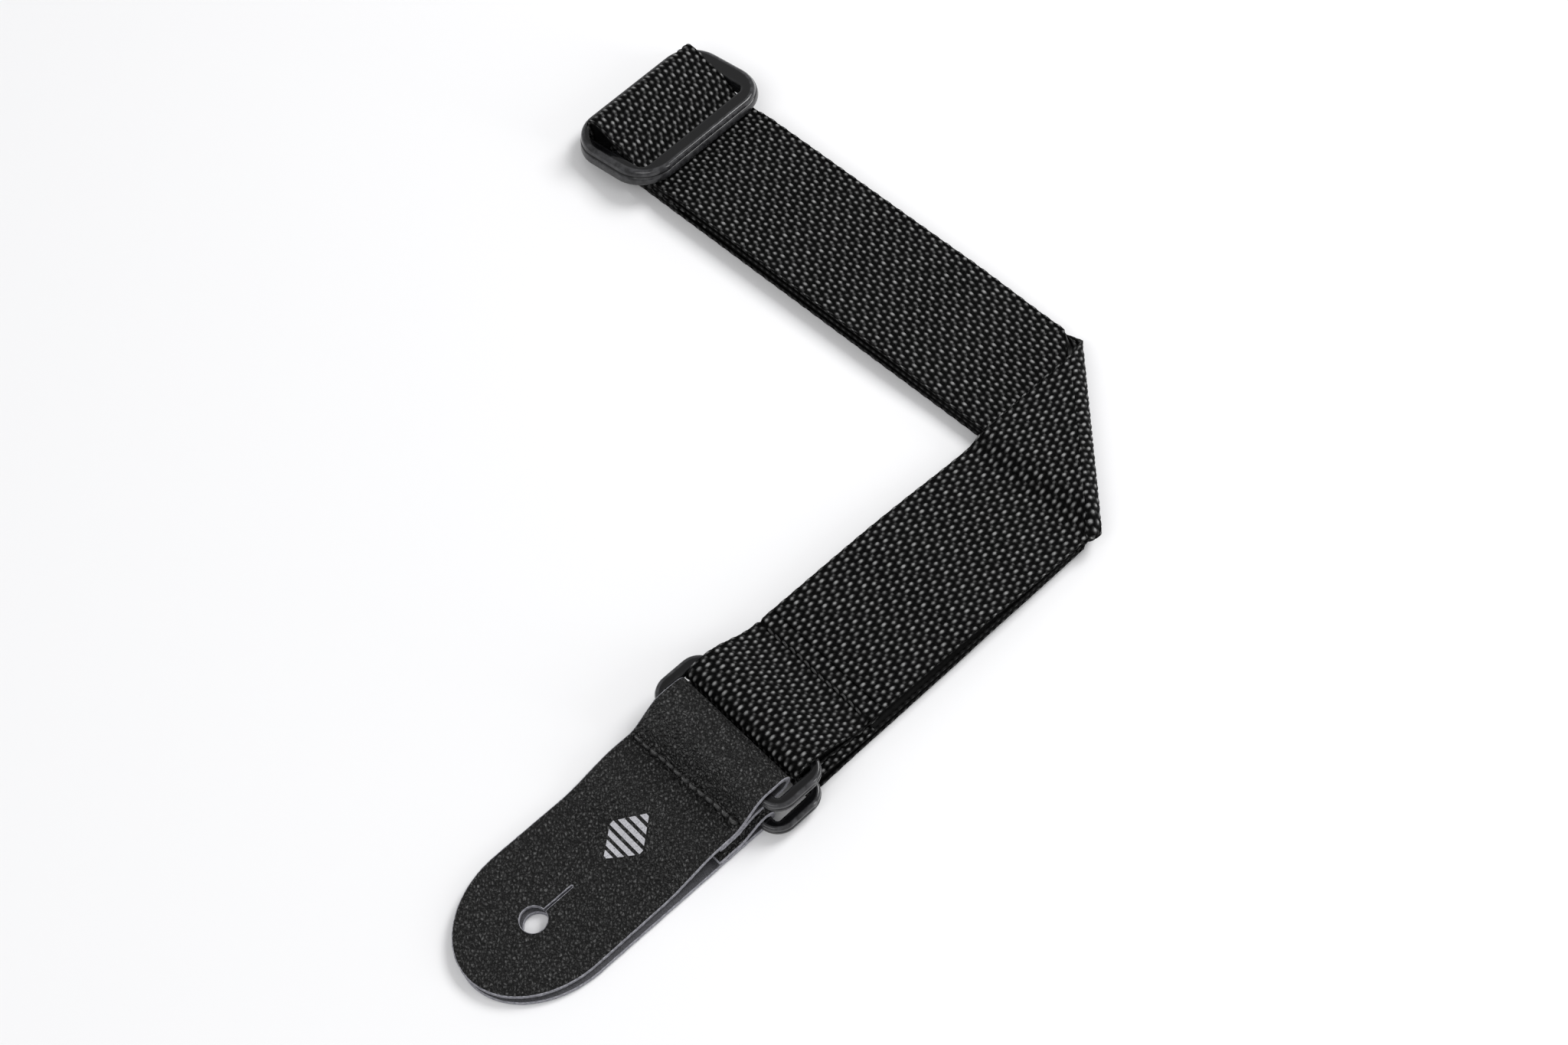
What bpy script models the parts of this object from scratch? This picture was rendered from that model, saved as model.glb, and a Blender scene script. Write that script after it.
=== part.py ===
"""Guitar strap, folded once at its middle: three layers of webbing, a slider, two rings, two tabs.

Lengths are in millimetres and are turned into metres by MM where a point is made. A place on a
leg is given by three numbers: along, the distance from the fold point outwards along the leg;
across, the distance from the leg's centre line, positive towards the fold's outer edge; and
height above the surface that the strap lies on.
"""

import math

import bmesh
import bpy
from mathutils import Matrix, Vector

MM = 0.001

# Plan: the two legs leave the fold point at HALF_ANGLE on either side of -X.
HALF_ANGLE = math.radians(43.5)
FOLD_POINT = (97.68, 9.57)
FOLD_SETBACK = 6.1
FOLD_HEIGHT = 6.0
FOLD_HINGE_REACH = 5.0
UPPER, LOWER = 1, -1

# Webbing
WEB_WIDTH = 48.4
WEB_THICK = 1.5
LOOP_WIDTH = 46.6
NARROWING = (60.0, 130.0)
FOLD_PITCH = 2.1
FOLD_BULGES = (1.05, 2.9, 4.75)
JOIN_GAP = 0.15
FOLD_GAP = 0.5
STRAIGHT_FROM = 36.0
FOLD_DRIFT = 1.2
UNDER_HEIGHT = 0.75

# Where each layer's middle has settled beyond the fold, and where its stretch of the leg ends
MAIN_UPPER = ((75.0, 6.4), (165.0, 7.0))
RETURN_UPPER = ((75.0, 3.6), (150.0, 4.35))
UNDER_LOWER = ((85.0, 9.2), (120.0, 8.8))
RETURN_LOWER = ((90.0, 5.2), (125.0, 4.6))
MAIN_LOWER = ((95.0, 1.9), (125.0, 1.2))

# Webbing round the bars of the rings and of the slider
EYE_RADIUS = 3.25
EYE_A_ACROSS = -0.9
EYE_A_SLACK = 3.7
EYE_A_RISE = 128.0
EYE_A_TAIL = ((130.0, 7.0), (121.5, 7.0))
EYE_B_ACROSS = 1.6
SLIDER_EYE_RISE = 181.0
SLIDER_EYE_TAIL = ((180.0, 2.55), (163.5, 2.55))

# Webbing through the slider: its dip below the inner bar, then its arch over the centre bar
ARCH_DIP = ((172.0, 6.15), (178.3, 6.15))
ARCH_OVER_BAR = 12.8
ARCH_CREST = 15.9
ARCH_OUTER = 206.0
ARCH_CURL = 3.6
ARCH_SLOT = (204.7, 8.6)
ARCH_FOOT = 3.2

# Slider: a flat frame with a centre bar, tipped so that its outer bar is the lower one; its window
# lies a little towards the inside of the fold
SLIDER_ALONG = 192.0
SLIDER_HEIGHT = 7.74
SLIDER_ACROSS = 2.2
WEB_ACROSS_SLIDER = 1.0
SLIDER_TIP = math.radians(9.0)
SLIDER_SIZE = (40.4, 64.6)
SLIDER_WINDOW = (28.4, 50.4)
SLIDER_WINDOW_SHIFT = 1.3
SLIDER_CORNER = 13.5
SLIDER_WINDOW_CORNER = 1.5
SLIDER_THICK = 5.4
SLIDER_EDGE = 0.9
CENTRE_BAR = (4.4, 3.2)
BAR_RUN_IN = 2.0

# Rings
RING_SIZE = (22.0, 56.0)
RING_WINDOW = (14.0, 48.0)
RING_CORNER = 7.0
RING_WINDOW_CORNER = 1.2
RING_THICK = 3.0
RING_EDGE = 0.8
BAR_OFFSET = 9.0
RING_A = (156.7, -0.7, 12.6)
RING_B = (159.1, 1.8, 4.1)

# Leather tabs
LEATHER = 1.6
TAB_WIDTH = 44.8
TAB_TIP = 260.0
TAB_RUN_ON = 2.0
TAB_TRIM = 1.0
TAB_ROUND = 29.0
TAB_LOOP_RADIUS = 3.3
HOLE_ALONG = 235.5
HOLE_RADIUS = 4.0
SLIT_END = 221.0
SLIT_WIDTH = 0.8
NEAR_BAR = 2.8
TAB_A_SEWN = 7.5
TAB_A_FLAT = 2.7
TAB_A_FALL = (184.0, 206.0)
TAB_A_ACROSS = -1.4
TAB_A_SLACK = 5.1
TAB_A_TURN = math.radians(-0.2)
TAB_A_TAIL = ((184.0, 5.6), (179.0, 5.6))
TAB_A_CLOSED = 179.0
TAB_B_ACROSS = 0.7
TAB_B_TURN = math.radians(-0.7)
TAB_B_TAIL = ((186.0, 3.0), (178.0, 3.0))

# Threads and the printed mark
THREAD = 0.8
HIDDEN_THREAD = 0.5
SEAM_GAP = 0.1
TAB_SEAM = (181.0, 20.0)
EYE_A_SEAM = (125.5, 22.0)
SLIDER_EYE_SEAM = (168.5, 22.5)
MARK_SPAN = (191.0, 209.0)
MARK_WIDTH = 14.0
MARK_THICK = 0.2
MARK_POINT = 0.2
STITCHES = 12
STITCH_RISE = 0.1

# How far the cutting shapes reach: outwards from a tab's bar, and above and below it
CUTTER_START = -20.0
OUTLINE_REACH = 30.0
HOLE_REACH = 30.0
SLIT_REACH = 29.0

PALETTE = {
    "webbing": ((0.012, 0.012, 0.013), 0.75),
    "leather": ((0.030, 0.030, 0.031), 0.60),
    "plastic": ((0.025, 0.025, 0.026), 0.38),
    "thread": ((0.010, 0.010, 0.010), 0.65),
    "silver_print": ((0.42, 0.42, 0.43), 0.40),
}


# --- scene helpers -------------------------------------------------------------------------

def clear_scene():
    for old in list(bpy.data.objects):
        bpy.data.objects.remove(old)


def new_collection(name):
    collection = bpy.data.collections.new(name)
    bpy.context.scene.collection.children.link(collection)
    return collection


def make_material(name, colour, roughness):
    material = bpy.data.materials.new(name)
    material.use_nodes = True
    shader = material.node_tree.nodes["Principled BSDF"]
    shader.inputs["Base Color"].default_value = (*colour, 1.0)
    shader.inputs["Roughness"].default_value = roughness
    shader.inputs["Metallic"].default_value = 0.0
    return material


def add_object(name, data, kind):
    """Put data in the strap's collection as an object with a material of its own."""
    item = bpy.data.objects.new(name, data)
    STRAP.objects.link(item)
    colour, roughness = PALETTE[kind]
    data.materials.append(make_material(name + "_" + kind, colour, roughness))
    return item


def mesh_from(bm, name):
    mesh = bpy.data.meshes.new(name)
    bm.to_mesh(mesh)
    bm.free()
    return mesh


def add_cutter(name, bm):
    cutter = bpy.data.objects.new(name, mesh_from(bm, name))
    CUTTERS.objects.link(cutter)
    cutter.hide_render = True
    cutter.display_type = "WIRE"
    return cutter


def combine(item, other, operation):
    """Boolean item with other, which then moves with it; both meshes are in world space."""
    other.parent = item
    modifier = item.modifiers.new(other.name, "BOOLEAN")
    modifier.operation = operation
    modifier.solver = "EXACT"
    modifier.object = other


# --- places and routes ---------------------------------------------------------------------

def leg_point(side, along, across, height):
    cosine, sine = math.cos(HALF_ANGLE), math.sin(HALF_ANGLE)
    x = FOLD_POINT[0] - along * cosine + across * sine
    y = FOLD_POINT[1] + side * (along * sine + across * cosine)
    return Vector((x, y, height)) * MM


def leg_matrix(side, along, across, height, tip=0.0, turn_in_plane=0.0):
    """Frame with X outwards along the leg, Y across it and Z up, tipped about Y if wanted."""
    outwards = math.atan2(side * math.sin(HALF_ANGLE), -math.cos(HALF_ANGLE))
    place = Matrix.Translation(leg_point(side, along, across, height))
    plan = Matrix.Rotation(outwards + turn_in_plane, 4, "Z")
    return place @ plan @ Matrix.Rotation(tip, 4, "Y")


def ease(start, end, steps):
    """A rise or fall from start to end that is level at both ends; start is left out."""
    points = []
    for step in range(1, steps + 1):
        part = step / steps
        smooth = part * part * (3.0 - 2.0 * part)
        along = start[0] + (end[0] - start[0]) * part
        points.append((along, start[1] + (end[1] - start[1]) * smooth))
    return points


def turn(centre, radius, first, last, steps):
    """An arc about centre between two angles in degrees, 0 outwards and 90 up; start left out."""
    points = []
    for step in range(1, steps + 1):
        angle = math.radians(first + (last - first) * step / steps)
        points.append((centre[0] + radius * math.cos(angle), centre[1] + radius * math.sin(angle)))
    return points


def above(centre, radius):
    return (centre[0], centre[1] + radius)


def below(centre, radius):
    return (centre[0], centre[1] - radius)


def between(along, start, end, first, last):
    """Value that runs straight from first at start to last at end and is held outside them."""
    part = min(1.0, max(0.0, (along - start) / (end - start)))
    return first + (last - first) * part


# --- bands ---------------------------------------------------------------------------------

def band(name, kind, thickness, rows, place):
    """A band of rows strips: place(row, side) gives its middle surface, side being -1 or 1."""
    bm = bmesh.new()
    bmesh.ops.create_grid(bm, x_segments=rows - 1, y_segments=1, size=1.0)
    for vert in bm.verts:
        row = round((vert.co.x + 1.0) * (rows - 1) / 2.0)
        vert.co = place(row, round(vert.co.y))
    item = add_object(name, mesh_from(bm, name), kind)
    shell = item.modifiers.new("thickness", "SOLIDIFY")
    shell.thickness = thickness * MM
    shell.offset = 0.0
    shell.use_even_offset = True
    return item


def fold_start(across):
    """Where along a leg its edge of the fold lies, at a distance across the leg."""
    return (FOLD_SETBACK + across * math.sin(HALF_ANGLE)) / math.cos(HALF_ANGLE) + FOLD_GAP


def webbing_run(name, side, route, width, drift, from_fold=False):
    """A stretch of webbing along a leg; with from_fold its first row follows the fold line."""
    def place(row, edge):
        along, height = route[row]
        across = edge * width(along) / 2.0 + drift(along)
        if from_fold and row == 0:
            along = fold_start(across)
        return leg_point(side, along, across, height)

    return band(name, "webbing", WEB_THICK, len(route), place)


def full_width(along):
    return WEB_WIDTH


def loop_width(along):
    return between(along, *NARROWING, WEB_WIDTH, LOOP_WIDTH)


def drift_slider(along):
    return between(along, STRAIGHT_FROM, MAIN_UPPER[1][0], FOLD_DRIFT, WEB_ACROSS_SLIDER)


def drift_a(along):
    return between(along, STRAIGHT_FROM, RING_A[0] - BAR_OFFSET, FOLD_DRIFT, EYE_A_ACROSS)


def drift_b(along):
    return between(along, STRAIGHT_FROM, RING_B[0] - BAR_OFFSET, FOLD_DRIFT, EYE_B_ACROSS)


def build_fold(name, order):
    """One layer's turn at the fold: half a flattened tube, slanting from leg to leg."""
    radius = FOLD_PITCH * (order + 0.5)
    bulge = FOLD_BULGES[order]
    steps = 10
    slant = FOLD_SETBACK * math.tan(HALF_ANGLE) + FOLD_DRIFT / math.cos(HALF_ANGLE)

    def place(row, edge):
        angle = math.radians(180.0 * row / steps - 90.0)
        x = FOLD_POINT[0] - FOLD_SETBACK + bulge * math.cos(angle)
        y = FOLD_POINT[1] + slant * (1.0 - 2.0 * row / steps)
        y += edge * WEB_WIDTH / 2.0 / math.cos(HALF_ANGLE)
        return Vector((x, y, FOLD_HEIGHT + radius * math.sin(angle))) * MM

    return band(name, "webbing", WEB_THICK, steps + 1, place)


def fold_height(side, order):
    """Height of a layer's middle where it meets the fold, order 0 being the innermost."""
    return FOLD_HEIGHT - side * FOLD_PITCH * (order + 0.5)


def leg_route(height, rest, end):
    """From the fold at height, easing to rest and then on to just short of end."""
    start = (STRAIGHT_FROM, height)
    stop = (end[0] - JOIN_GAP, end[1])
    return [(0.0, height), start] + ease(start, rest, 5) + ease(rest, stop, 3)


def build_upper_leg():
    main, back, under = (fold_height(UPPER, order) for order in range(3))
    common = (full_width, drift_slider, True)
    webbing_run("webbing_main_upper", UPPER, leg_route(main, *MAIN_UPPER), *common)
    webbing_run("webbing_return_upper", UPPER, leg_route(back, *RETURN_UPPER), *common)
    route = [(0.0, under), (STRAIGHT_FROM, under), (MAIN_UPPER[1][0] - JOIN_GAP, under)]
    webbing_run("webbing_under_upper", UPPER, route, *common)


def build_lower_leg():
    main, back, under = (fold_height(LOWER, order) for order in range(3))
    route = leg_route(under, *UNDER_LOWER)
    webbing_run("webbing_under_lower", LOWER, route, loop_width, drift_a, True)
    route = leg_route(back, *RETURN_LOWER)
    webbing_run("webbing_return_lower", LOWER, route, loop_width, drift_b, True)
    route = leg_route(main, *MAIN_LOWER)
    webbing_run("webbing_main_lower", LOWER, route, loop_width, drift_b, True)


def build_ring_a_eye():
    """The webbing's end: loosely over ring A's inner bar and back beneath itself."""
    bar = (RING_A[0] - BAR_OFFSET, RING_A[2])
    bend = (bar[0] + EYE_A_SLACK, bar[1])
    end = UNDER_LOWER[1]
    rise = (EYE_A_RISE, end[1])
    route = [(end[0] + JOIN_GAP, end[1]), rise] + ease(rise, above(bar, EYE_RADIUS), 9)
    route += [above(bend, EYE_RADIUS)] + turn(bend, EYE_RADIUS, 90.0, -90.0, 10)
    route += [below(bar, EYE_RADIUS)]
    route += ease(below(bar, EYE_RADIUS), EYE_A_TAIL[0], 5) + [EYE_A_TAIL[1]]
    webbing_run("webbing_ring_a_eye", LOWER, route, loop_width, drift_a)


def build_ring_b_turn():
    """The webbing's free turn round ring B's inner bar."""
    bar = (RING_B[0] - BAR_OFFSET, RING_B[2])
    start = (RETURN_LOWER[1][0] + JOIN_GAP, RETURN_LOWER[1][1])
    end = (MAIN_LOWER[1][0] + JOIN_GAP, MAIN_LOWER[1][1])
    route = [start] + ease(start, above(bar, EYE_RADIUS), 7)
    route += turn(bar, EYE_RADIUS, 90.0, -90.0, 10) + ease(below(bar, EYE_RADIUS), end, 3)
    webbing_run("webbing_ring_b_turn", LOWER, route, loop_width, drift_b)


def build_slider_eye():
    """The webbing's other end, sewn round the slider's centre bar."""
    bar = (SLIDER_ALONG, SLIDER_HEIGHT)
    end = RETURN_UPPER[1]
    rise = (SLIDER_EYE_RISE, end[1])
    route = [(end[0] + JOIN_GAP, end[1]), rise] + ease(rise, above(bar, EYE_RADIUS), 7)
    route += turn(bar, EYE_RADIUS, 90.0, -90.0, 10)
    route += ease(below(bar, EYE_RADIUS), SLIDER_EYE_TAIL[0], 4) + [SLIDER_EYE_TAIL[1]]
    webbing_run("webbing_slider_eye", UPPER, route, full_width, drift_slider)


def build_slider_arch():
    """The webbing through the slider: up its inner slot, over the bar, down its outer slot."""
    high = (ARCH_OUTER - ARCH_CURL, ARCH_CREST - ARCH_CURL)
    low = (ARCH_SLOT[0] - ARCH_FOOT, UNDER_HEIGHT + ARCH_FOOT)
    over_bar = (SLIDER_ALONG, ARCH_OVER_BAR)
    start = (MAIN_UPPER[1][0] + JOIN_GAP, MAIN_UPPER[1][1])
    route = [start] + ease(start, ARCH_DIP[0], 3) + [ARCH_DIP[1]]
    route += ease(ARCH_DIP[1], over_bar, 8) + ease(over_bar, above(high, ARCH_CURL), 3)
    route += turn(high, ARCH_CURL, 90.0, 0.0, 6)
    tuck = ease((high[1], ARCH_OUTER), (ARCH_SLOT[1], ARCH_SLOT[0]), 4)
    route += [(along, height) for height, along in tuck] + [(ARCH_SLOT[0], low[1])]
    route += turn(low, ARCH_FOOT, 0.0, -90.0, 6) + [(start[0], UNDER_HEIGHT)]
    webbing_run("webbing_slider_arch", UPPER, route, full_width, drift_slider)


# --- moulded pieces ------------------------------------------------------------------------

def add_rounded_outline(curve, size, corner, shift=0.0):
    """A closed rounded rectangle on a 2D curve, its centre shifted along Y."""
    circle = 0.5522847
    half_x, half_y = size[0] / 2.0, size[1] / 2.0
    spline = curve.splines.new("BEZIER")
    spline.bezier_points.add(7)
    spline.use_cyclic_u = True
    corners = ((1, 1), (-1, 1), (-1, -1), (1, -1))
    index = 0
    for sign_x, sign_y in corners:
        ends = [
            (sign_x * half_x, sign_y * (half_y - corner), 0.0, sign_y),
            (sign_x * (half_x - corner), sign_y * half_y, sign_x, 0.0),
        ]
        if sign_x * sign_y < 0:
            ends.reverse()
        for order, (x, y, lean_x, lean_y) in enumerate(ends):
            point = spline.bezier_points[index]
            reach = corner * circle
            y += shift
            bent = Vector((x + lean_x * reach, y + lean_y * reach, 0.0)) * MM
            straight = Vector((x - lean_x * reach, y - lean_y * reach, 0.0)) * MM
            point.co = Vector((x, y, 0.0)) * MM
            point.handle_left_type = point.handle_right_type = "FREE"
            point.handle_right = bent if order == 0 else straight
            point.handle_left = straight if order == 0 else bent
            index += 1


def plate_curve(name, outlines, thickness, edge):
    """A flat plate with holes: the first outline is its rim and the others are cut out."""
    curve = bpy.data.curves.new(name, "CURVE")
    curve.dimensions = "2D"
    curve.fill_mode = "BOTH"
    curve.resolution_u = 5
    curve.extrude = (thickness / 2.0 - edge) * MM
    curve.bevel_depth = edge * MM
    curve.bevel_resolution = 2
    curve.offset = -edge * MM
    for outline in outlines:
        add_rounded_outline(curve, *outline)
    return curve


def welded_mesh(name, curve, matrix):
    """The curve's surface as one closed mesh in world space."""
    guide = bpy.data.objects.new(name + "_guide", curve)
    CUTTERS.objects.link(guide)
    guide.matrix_world = matrix
    bpy.context.view_layer.update()
    evaluated = guide.evaluated_get(bpy.context.evaluated_depsgraph_get())
    mesh = bpy.data.meshes.new_from_object(evaluated)
    mesh.name = name
    mesh.materials.clear()
    mesh.transform(matrix)
    bpy.data.objects.remove(guide)
    bm = bmesh.new()
    bm.from_mesh(mesh)
    bmesh.ops.remove_doubles(bm, verts=bm.verts, dist=0.01 * MM)
    bmesh.ops.recalc_face_normals(bm, faces=bm.faces)
    bm.to_mesh(mesh)
    bm.free()
    return mesh


def build_ring(name, centre):
    outlines = ((RING_SIZE, RING_CORNER), (RING_WINDOW, RING_WINDOW_CORNER))
    curve = plate_curve(name, outlines, RING_THICK, RING_EDGE)
    matrix = leg_matrix(LOWER, *centre)
    return add_object(name, welded_mesh(name, curve, matrix), "plastic")


def build_slider():
    window = (SLIDER_WINDOW, SLIDER_WINDOW_CORNER, SLIDER_WINDOW_SHIFT)
    outlines = ((SLIDER_SIZE, SLIDER_CORNER), window)
    curve = plate_curve("slider", outlines, SLIDER_THICK, SLIDER_EDGE)
    matrix = leg_matrix(UPPER, SLIDER_ALONG, SLIDER_ACROSS, SLIDER_HEIGHT, SLIDER_TIP)
    frame = add_object("slider", welded_mesh("slider", curve, matrix), "plastic")

    length = SLIDER_WINDOW[1] + 2.0 * BAR_RUN_IN
    middle = Matrix.Translation(Vector((0.0, SLIDER_WINDOW_SHIFT, 0.0)) * MM)
    bm = bmesh.new()
    bmesh.ops.create_cone(bm, cap_ends=True, segments=16, radius1=0.5, radius2=0.5, depth=1.0)
    upright = Matrix.Rotation(math.pi / 2.0, 4, "X")
    bmesh.ops.transform(bm, matrix=upright, verts=bm.verts)
    size = Matrix.Diagonal((CENTRE_BAR[0] * MM, length * MM, CENTRE_BAR[1] * MM, 1.0))
    bmesh.ops.transform(bm, matrix=matrix @ middle @ size, verts=bm.verts)
    combine(frame, add_cutter("slider_centre_bar", bm), "UNION")
    return frame


# --- leather tabs --------------------------------------------------------------------------

def tab_outline_cutter(name, matrix, start):
    """Prism of the tab's outline: straight sides and a long rounded end, in its own frame."""
    curve = bpy.data.curves.new(name, "CURVE")
    curve.dimensions = "2D"
    curve.fill_mode = "BOTH"
    curve.extrude = OUTLINE_REACH * MM
    spline = curve.splines.new("POLY")
    half = TAB_WIDTH / 2.0
    points = [(CUTTER_START, -half), (CUTTER_START, half)]
    steps = 28
    for step in range(steps + 1):
        angle = math.pi / 2.0 - math.pi * step / steps
        straight = TAB_TIP - start - TAB_ROUND
        points.append((straight + TAB_ROUND * math.cos(angle), half * math.sin(angle)))
    spline.points.add(len(points) - 1)
    for point, (x, y) in zip(spline.points, points):
        point.co = (x * MM, y * MM, 0.0, 1.0)
    spline.use_cyclic_u = True
    mesh = welded_mesh(name, curve, matrix)
    bm = bmesh.new()
    bm.from_mesh(mesh)
    bpy.data.meshes.remove(mesh)
    return add_cutter(name, bm)


def keyhole_cutter(name, matrix, start):
    """Round button hole with a slit that runs from it towards the ring."""
    hole = HOLE_ALONG - start
    bm = bmesh.new()
    bmesh.ops.create_cone(
        bm, cap_ends=True, segments=32, radius1=HOLE_RADIUS * MM, radius2=HOLE_RADIUS * MM,
        depth=2.0 * HOLE_REACH * MM, matrix=matrix @ Matrix.Translation(Vector((hole, 0.0, 0.0)) * MM))
    cutter = add_cutter(name, bm)

    length = HOLE_ALONG - SLIT_END
    middle = (SLIT_END + HOLE_ALONG) / 2.0 - start
    bm = bmesh.new()
    size = Matrix.Diagonal((length * MM, SLIT_WIDTH * MM, 2.0 * SLIT_REACH * MM, 1.0))
    bmesh.ops.create_cube(
        bm, size=1.0, matrix=matrix @ Matrix.Translation(Vector((middle, 0.0, 0.0)) * MM) @ size)
    combine(cutter, add_cutter(name + "_slit", bm), "UNION")
    return cutter


def tab_route_a():
    bar = (RING_A[0] + BAR_OFFSET, RING_A[2])
    bend = (bar[0] - TAB_A_SLACK, bar[1])
    top, bottom = above(bar, TAB_LOOP_RADIUS), below(bar, TAB_LOOP_RADIUS)
    near_bar = (bar[0] + NEAR_BAR, bottom[1])
    fall = (TAB_A_FALL[0], TAB_A_SEWN)
    route = list(TAB_A_TAIL) + ease(TAB_A_TAIL[1], near_bar, 5) + [bottom]
    route += [below(bend, TAB_LOOP_RADIUS)] + turn(bend, TAB_LOOP_RADIUS, -90.0, -270.0, 10)
    route += [top]
    route += ease(top, (TAB_A_CLOSED, TAB_A_SEWN), 7) + [fall]
    route += ease(fall, (TAB_A_FALL[1], TAB_A_FLAT), 5)
    return route + [(TAB_TIP + TAB_RUN_ON, TAB_A_FLAT)]


def tab_route_b():
    bar = (RING_B[0] + BAR_OFFSET, RING_B[2])
    route = list(TAB_B_TAIL) + ease(TAB_B_TAIL[1], above(bar, TAB_LOOP_RADIUS), 6)
    route += turn(bar, TAB_LOOP_RADIUS, 90.0, 270.0, 10)
    return route + [(TAB_TIP + TAB_RUN_ON, LEATHER / 2.0)]


def tab_place(matrix, start, along, across, height):
    return matrix @ (Vector((along - start, across, height)) * MM)


def build_tab(name, start, across, route, turn_in_plane):
    """A strip of leather round the ring's outer bar: long ply with a keyhole, short tail ply."""
    matrix = leg_matrix(LOWER, start, across, 0.0, 0.0, turn_in_plane)
    half = TAB_WIDTH / 2.0 + TAB_TRIM

    def place(row, edge):
        return tab_place(matrix, start, route[row][0], edge * half, route[row][1])

    tab = band(name, "leather", LEATHER, len(route), place)
    combine(tab, tab_outline_cutter(name + "_outline", matrix, start), "INTERSECT")
    combine(tab, keyhole_cutter(name + "_keyhole", matrix, start), "DIFFERENCE")
    return matrix, start


def build_mark(matrix, start):
    """A plain lozenge printed on tab A's long ply."""
    rows = 7
    lift = (LEATHER + MARK_THICK) / 2.0 + SEAM_GAP

    def place(row, edge):
        part = row / (rows - 1)
        along = MARK_SPAN[0] + (MARK_SPAN[1] - MARK_SPAN[0]) * part
        fall = between(along, *TAB_A_FALL, 0.0, 1.0)
        height = TAB_A_SEWN + (TAB_A_FLAT - TAB_A_SEWN) * fall * fall * (3.0 - 2.0 * fall)
        half = MARK_POINT + (MARK_WIDTH / 2.0 - MARK_POINT) * (1.0 - abs(2.0 * part - 1.0))
        return tab_place(matrix, start, along, edge * half, height + lift)

    band("tab_a_mark", "silver_print", MARK_THICK, rows, place)


# --- stitching -----------------------------------------------------------------------------

def build_thread(name, ends, diameter):
    """One row of stitching: a thread that rises and dips a little from stitch to stitch."""
    curve = bpy.data.curves.new(name, "CURVE")
    curve.dimensions = "3D"
    curve.bevel_depth = diameter / 2.0 * MM
    curve.bevel_resolution = 1
    curve.use_fill_caps = True
    spline = curve.splines.new("POLY")
    steps = 2 * STITCHES
    spline.points.add(steps)
    first, last = ends
    for step in range(steps + 1):
        place = first.lerp(last, step / steps)
        place.z += STITCH_RISE / 2.0 * MM * (1 + math.cos(math.pi * step))
        spline.points[step].co = (*place, 1.0)
    return add_object(name, curve, "thread")


def seam_on_leg(name, side, seam, across, height, diameter):
    """A row of stitching that lies across the top of a webbing layer."""
    rise = WEB_THICK / 2.0 + SEAM_GAP + diameter / 2.0
    ends = [leg_point(side, seam[0], across + edge * seam[1], height + rise) for edge in (-1, 1)]
    build_thread(name, ends, diameter)


def seam_on_tab(name, tab, height, diameter):
    """A row of stitching that lies across the top of a tab's ply."""
    rise = LEATHER / 2.0 + SEAM_GAP + diameter / 2.0
    ends = [tab_place(*tab, TAB_SEAM[0], edge * TAB_SEAM[1], height + rise) for edge in (-1, 1)]
    build_thread(name, ends, diameter)


def build_stitching(tab_a, tab_b):
    along = EYE_A_SEAM[0]
    seam_on_leg("stitching_ring_a_eye", LOWER, EYE_A_SEAM, drift_a(along), UNDER_LOWER[1][1], THREAD)
    along = SLIDER_EYE_SEAM[0]
    seam_on_leg("stitching_slider_eye", UPPER, SLIDER_EYE_SEAM, drift_slider(along),
                RETURN_UPPER[1][1], HIDDEN_THREAD)
    seam_on_tab("stitching_tab_a", tab_a, TAB_A_SEWN, THREAD)
    seam_on_tab("stitching_tab_b", tab_b, TAB_B_TAIL[0][1], HIDDEN_THREAD)


# --- pivots --------------------------------------------------------------------------------

def add_pivot(name, place, carrier, members):
    """An empty at place, on a joint's axis, that moves with carrier and carries the members."""
    pivot = bpy.data.objects.new(name, None)
    STRAP.objects.link(pivot)
    pivot.empty_display_size = 0.01
    pivot.location = place
    if carrier:
        hang(pivot, carrier)
    for member in members:
        hang(bpy.data.objects[member], pivot)
    return pivot


def hang(item, pivot):
    """Parent item to a pivot that is only moved, never turned, so that item stays in place."""
    item.parent = pivot
    item.matrix_parent_inverse = Matrix.Translation(-pivot.location)


def build_pivots():
    hinge = (FOLD_POINT[0] - FOLD_SETBACK + FOLD_HINGE_REACH, FOLD_POINT[1], FOLD_HEIGHT)
    runs = ("webbing_main_lower", "webbing_return_lower", "webbing_under_lower",
            "webbing_ring_a_eye", "webbing_ring_b_turn", "stitching_ring_a_eye")
    fold = add_pivot("fold_pivot", Vector(hinge) * MM, None, runs)
    runs = ("webbing_slider_arch", "webbing_slider_eye", "stitching_slider_eye")
    centre = leg_point(UPPER, SLIDER_ALONG, 0.0, SLIDER_HEIGHT)
    carriage = add_pivot("carriage_pivot", centre, None, runs)
    add_pivot("slider_pivot", centre, carriage, ("slider",))

    pieces = (("a", RING_A, ("tab_a", "tab_a_mark", "stitching_tab_a")),
              ("b", RING_B, ("tab_b", "stitching_tab_b")))
    for letter, ring, members in pieces:
        inner = leg_point(LOWER, ring[0] - BAR_OFFSET, 0.0, ring[2])
        outer = leg_point(LOWER, ring[0] + BAR_OFFSET, 0.0, ring[2])
        swing = add_pivot("ring_" + letter + "_pivot", inner, fold, ("ring_" + letter,))
        add_pivot("tab_" + letter + "_pivot", outer, swing, members)


clear_scene()
STRAP = new_collection("guitar_strap")
CUTTERS = new_collection("cutters")

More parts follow.
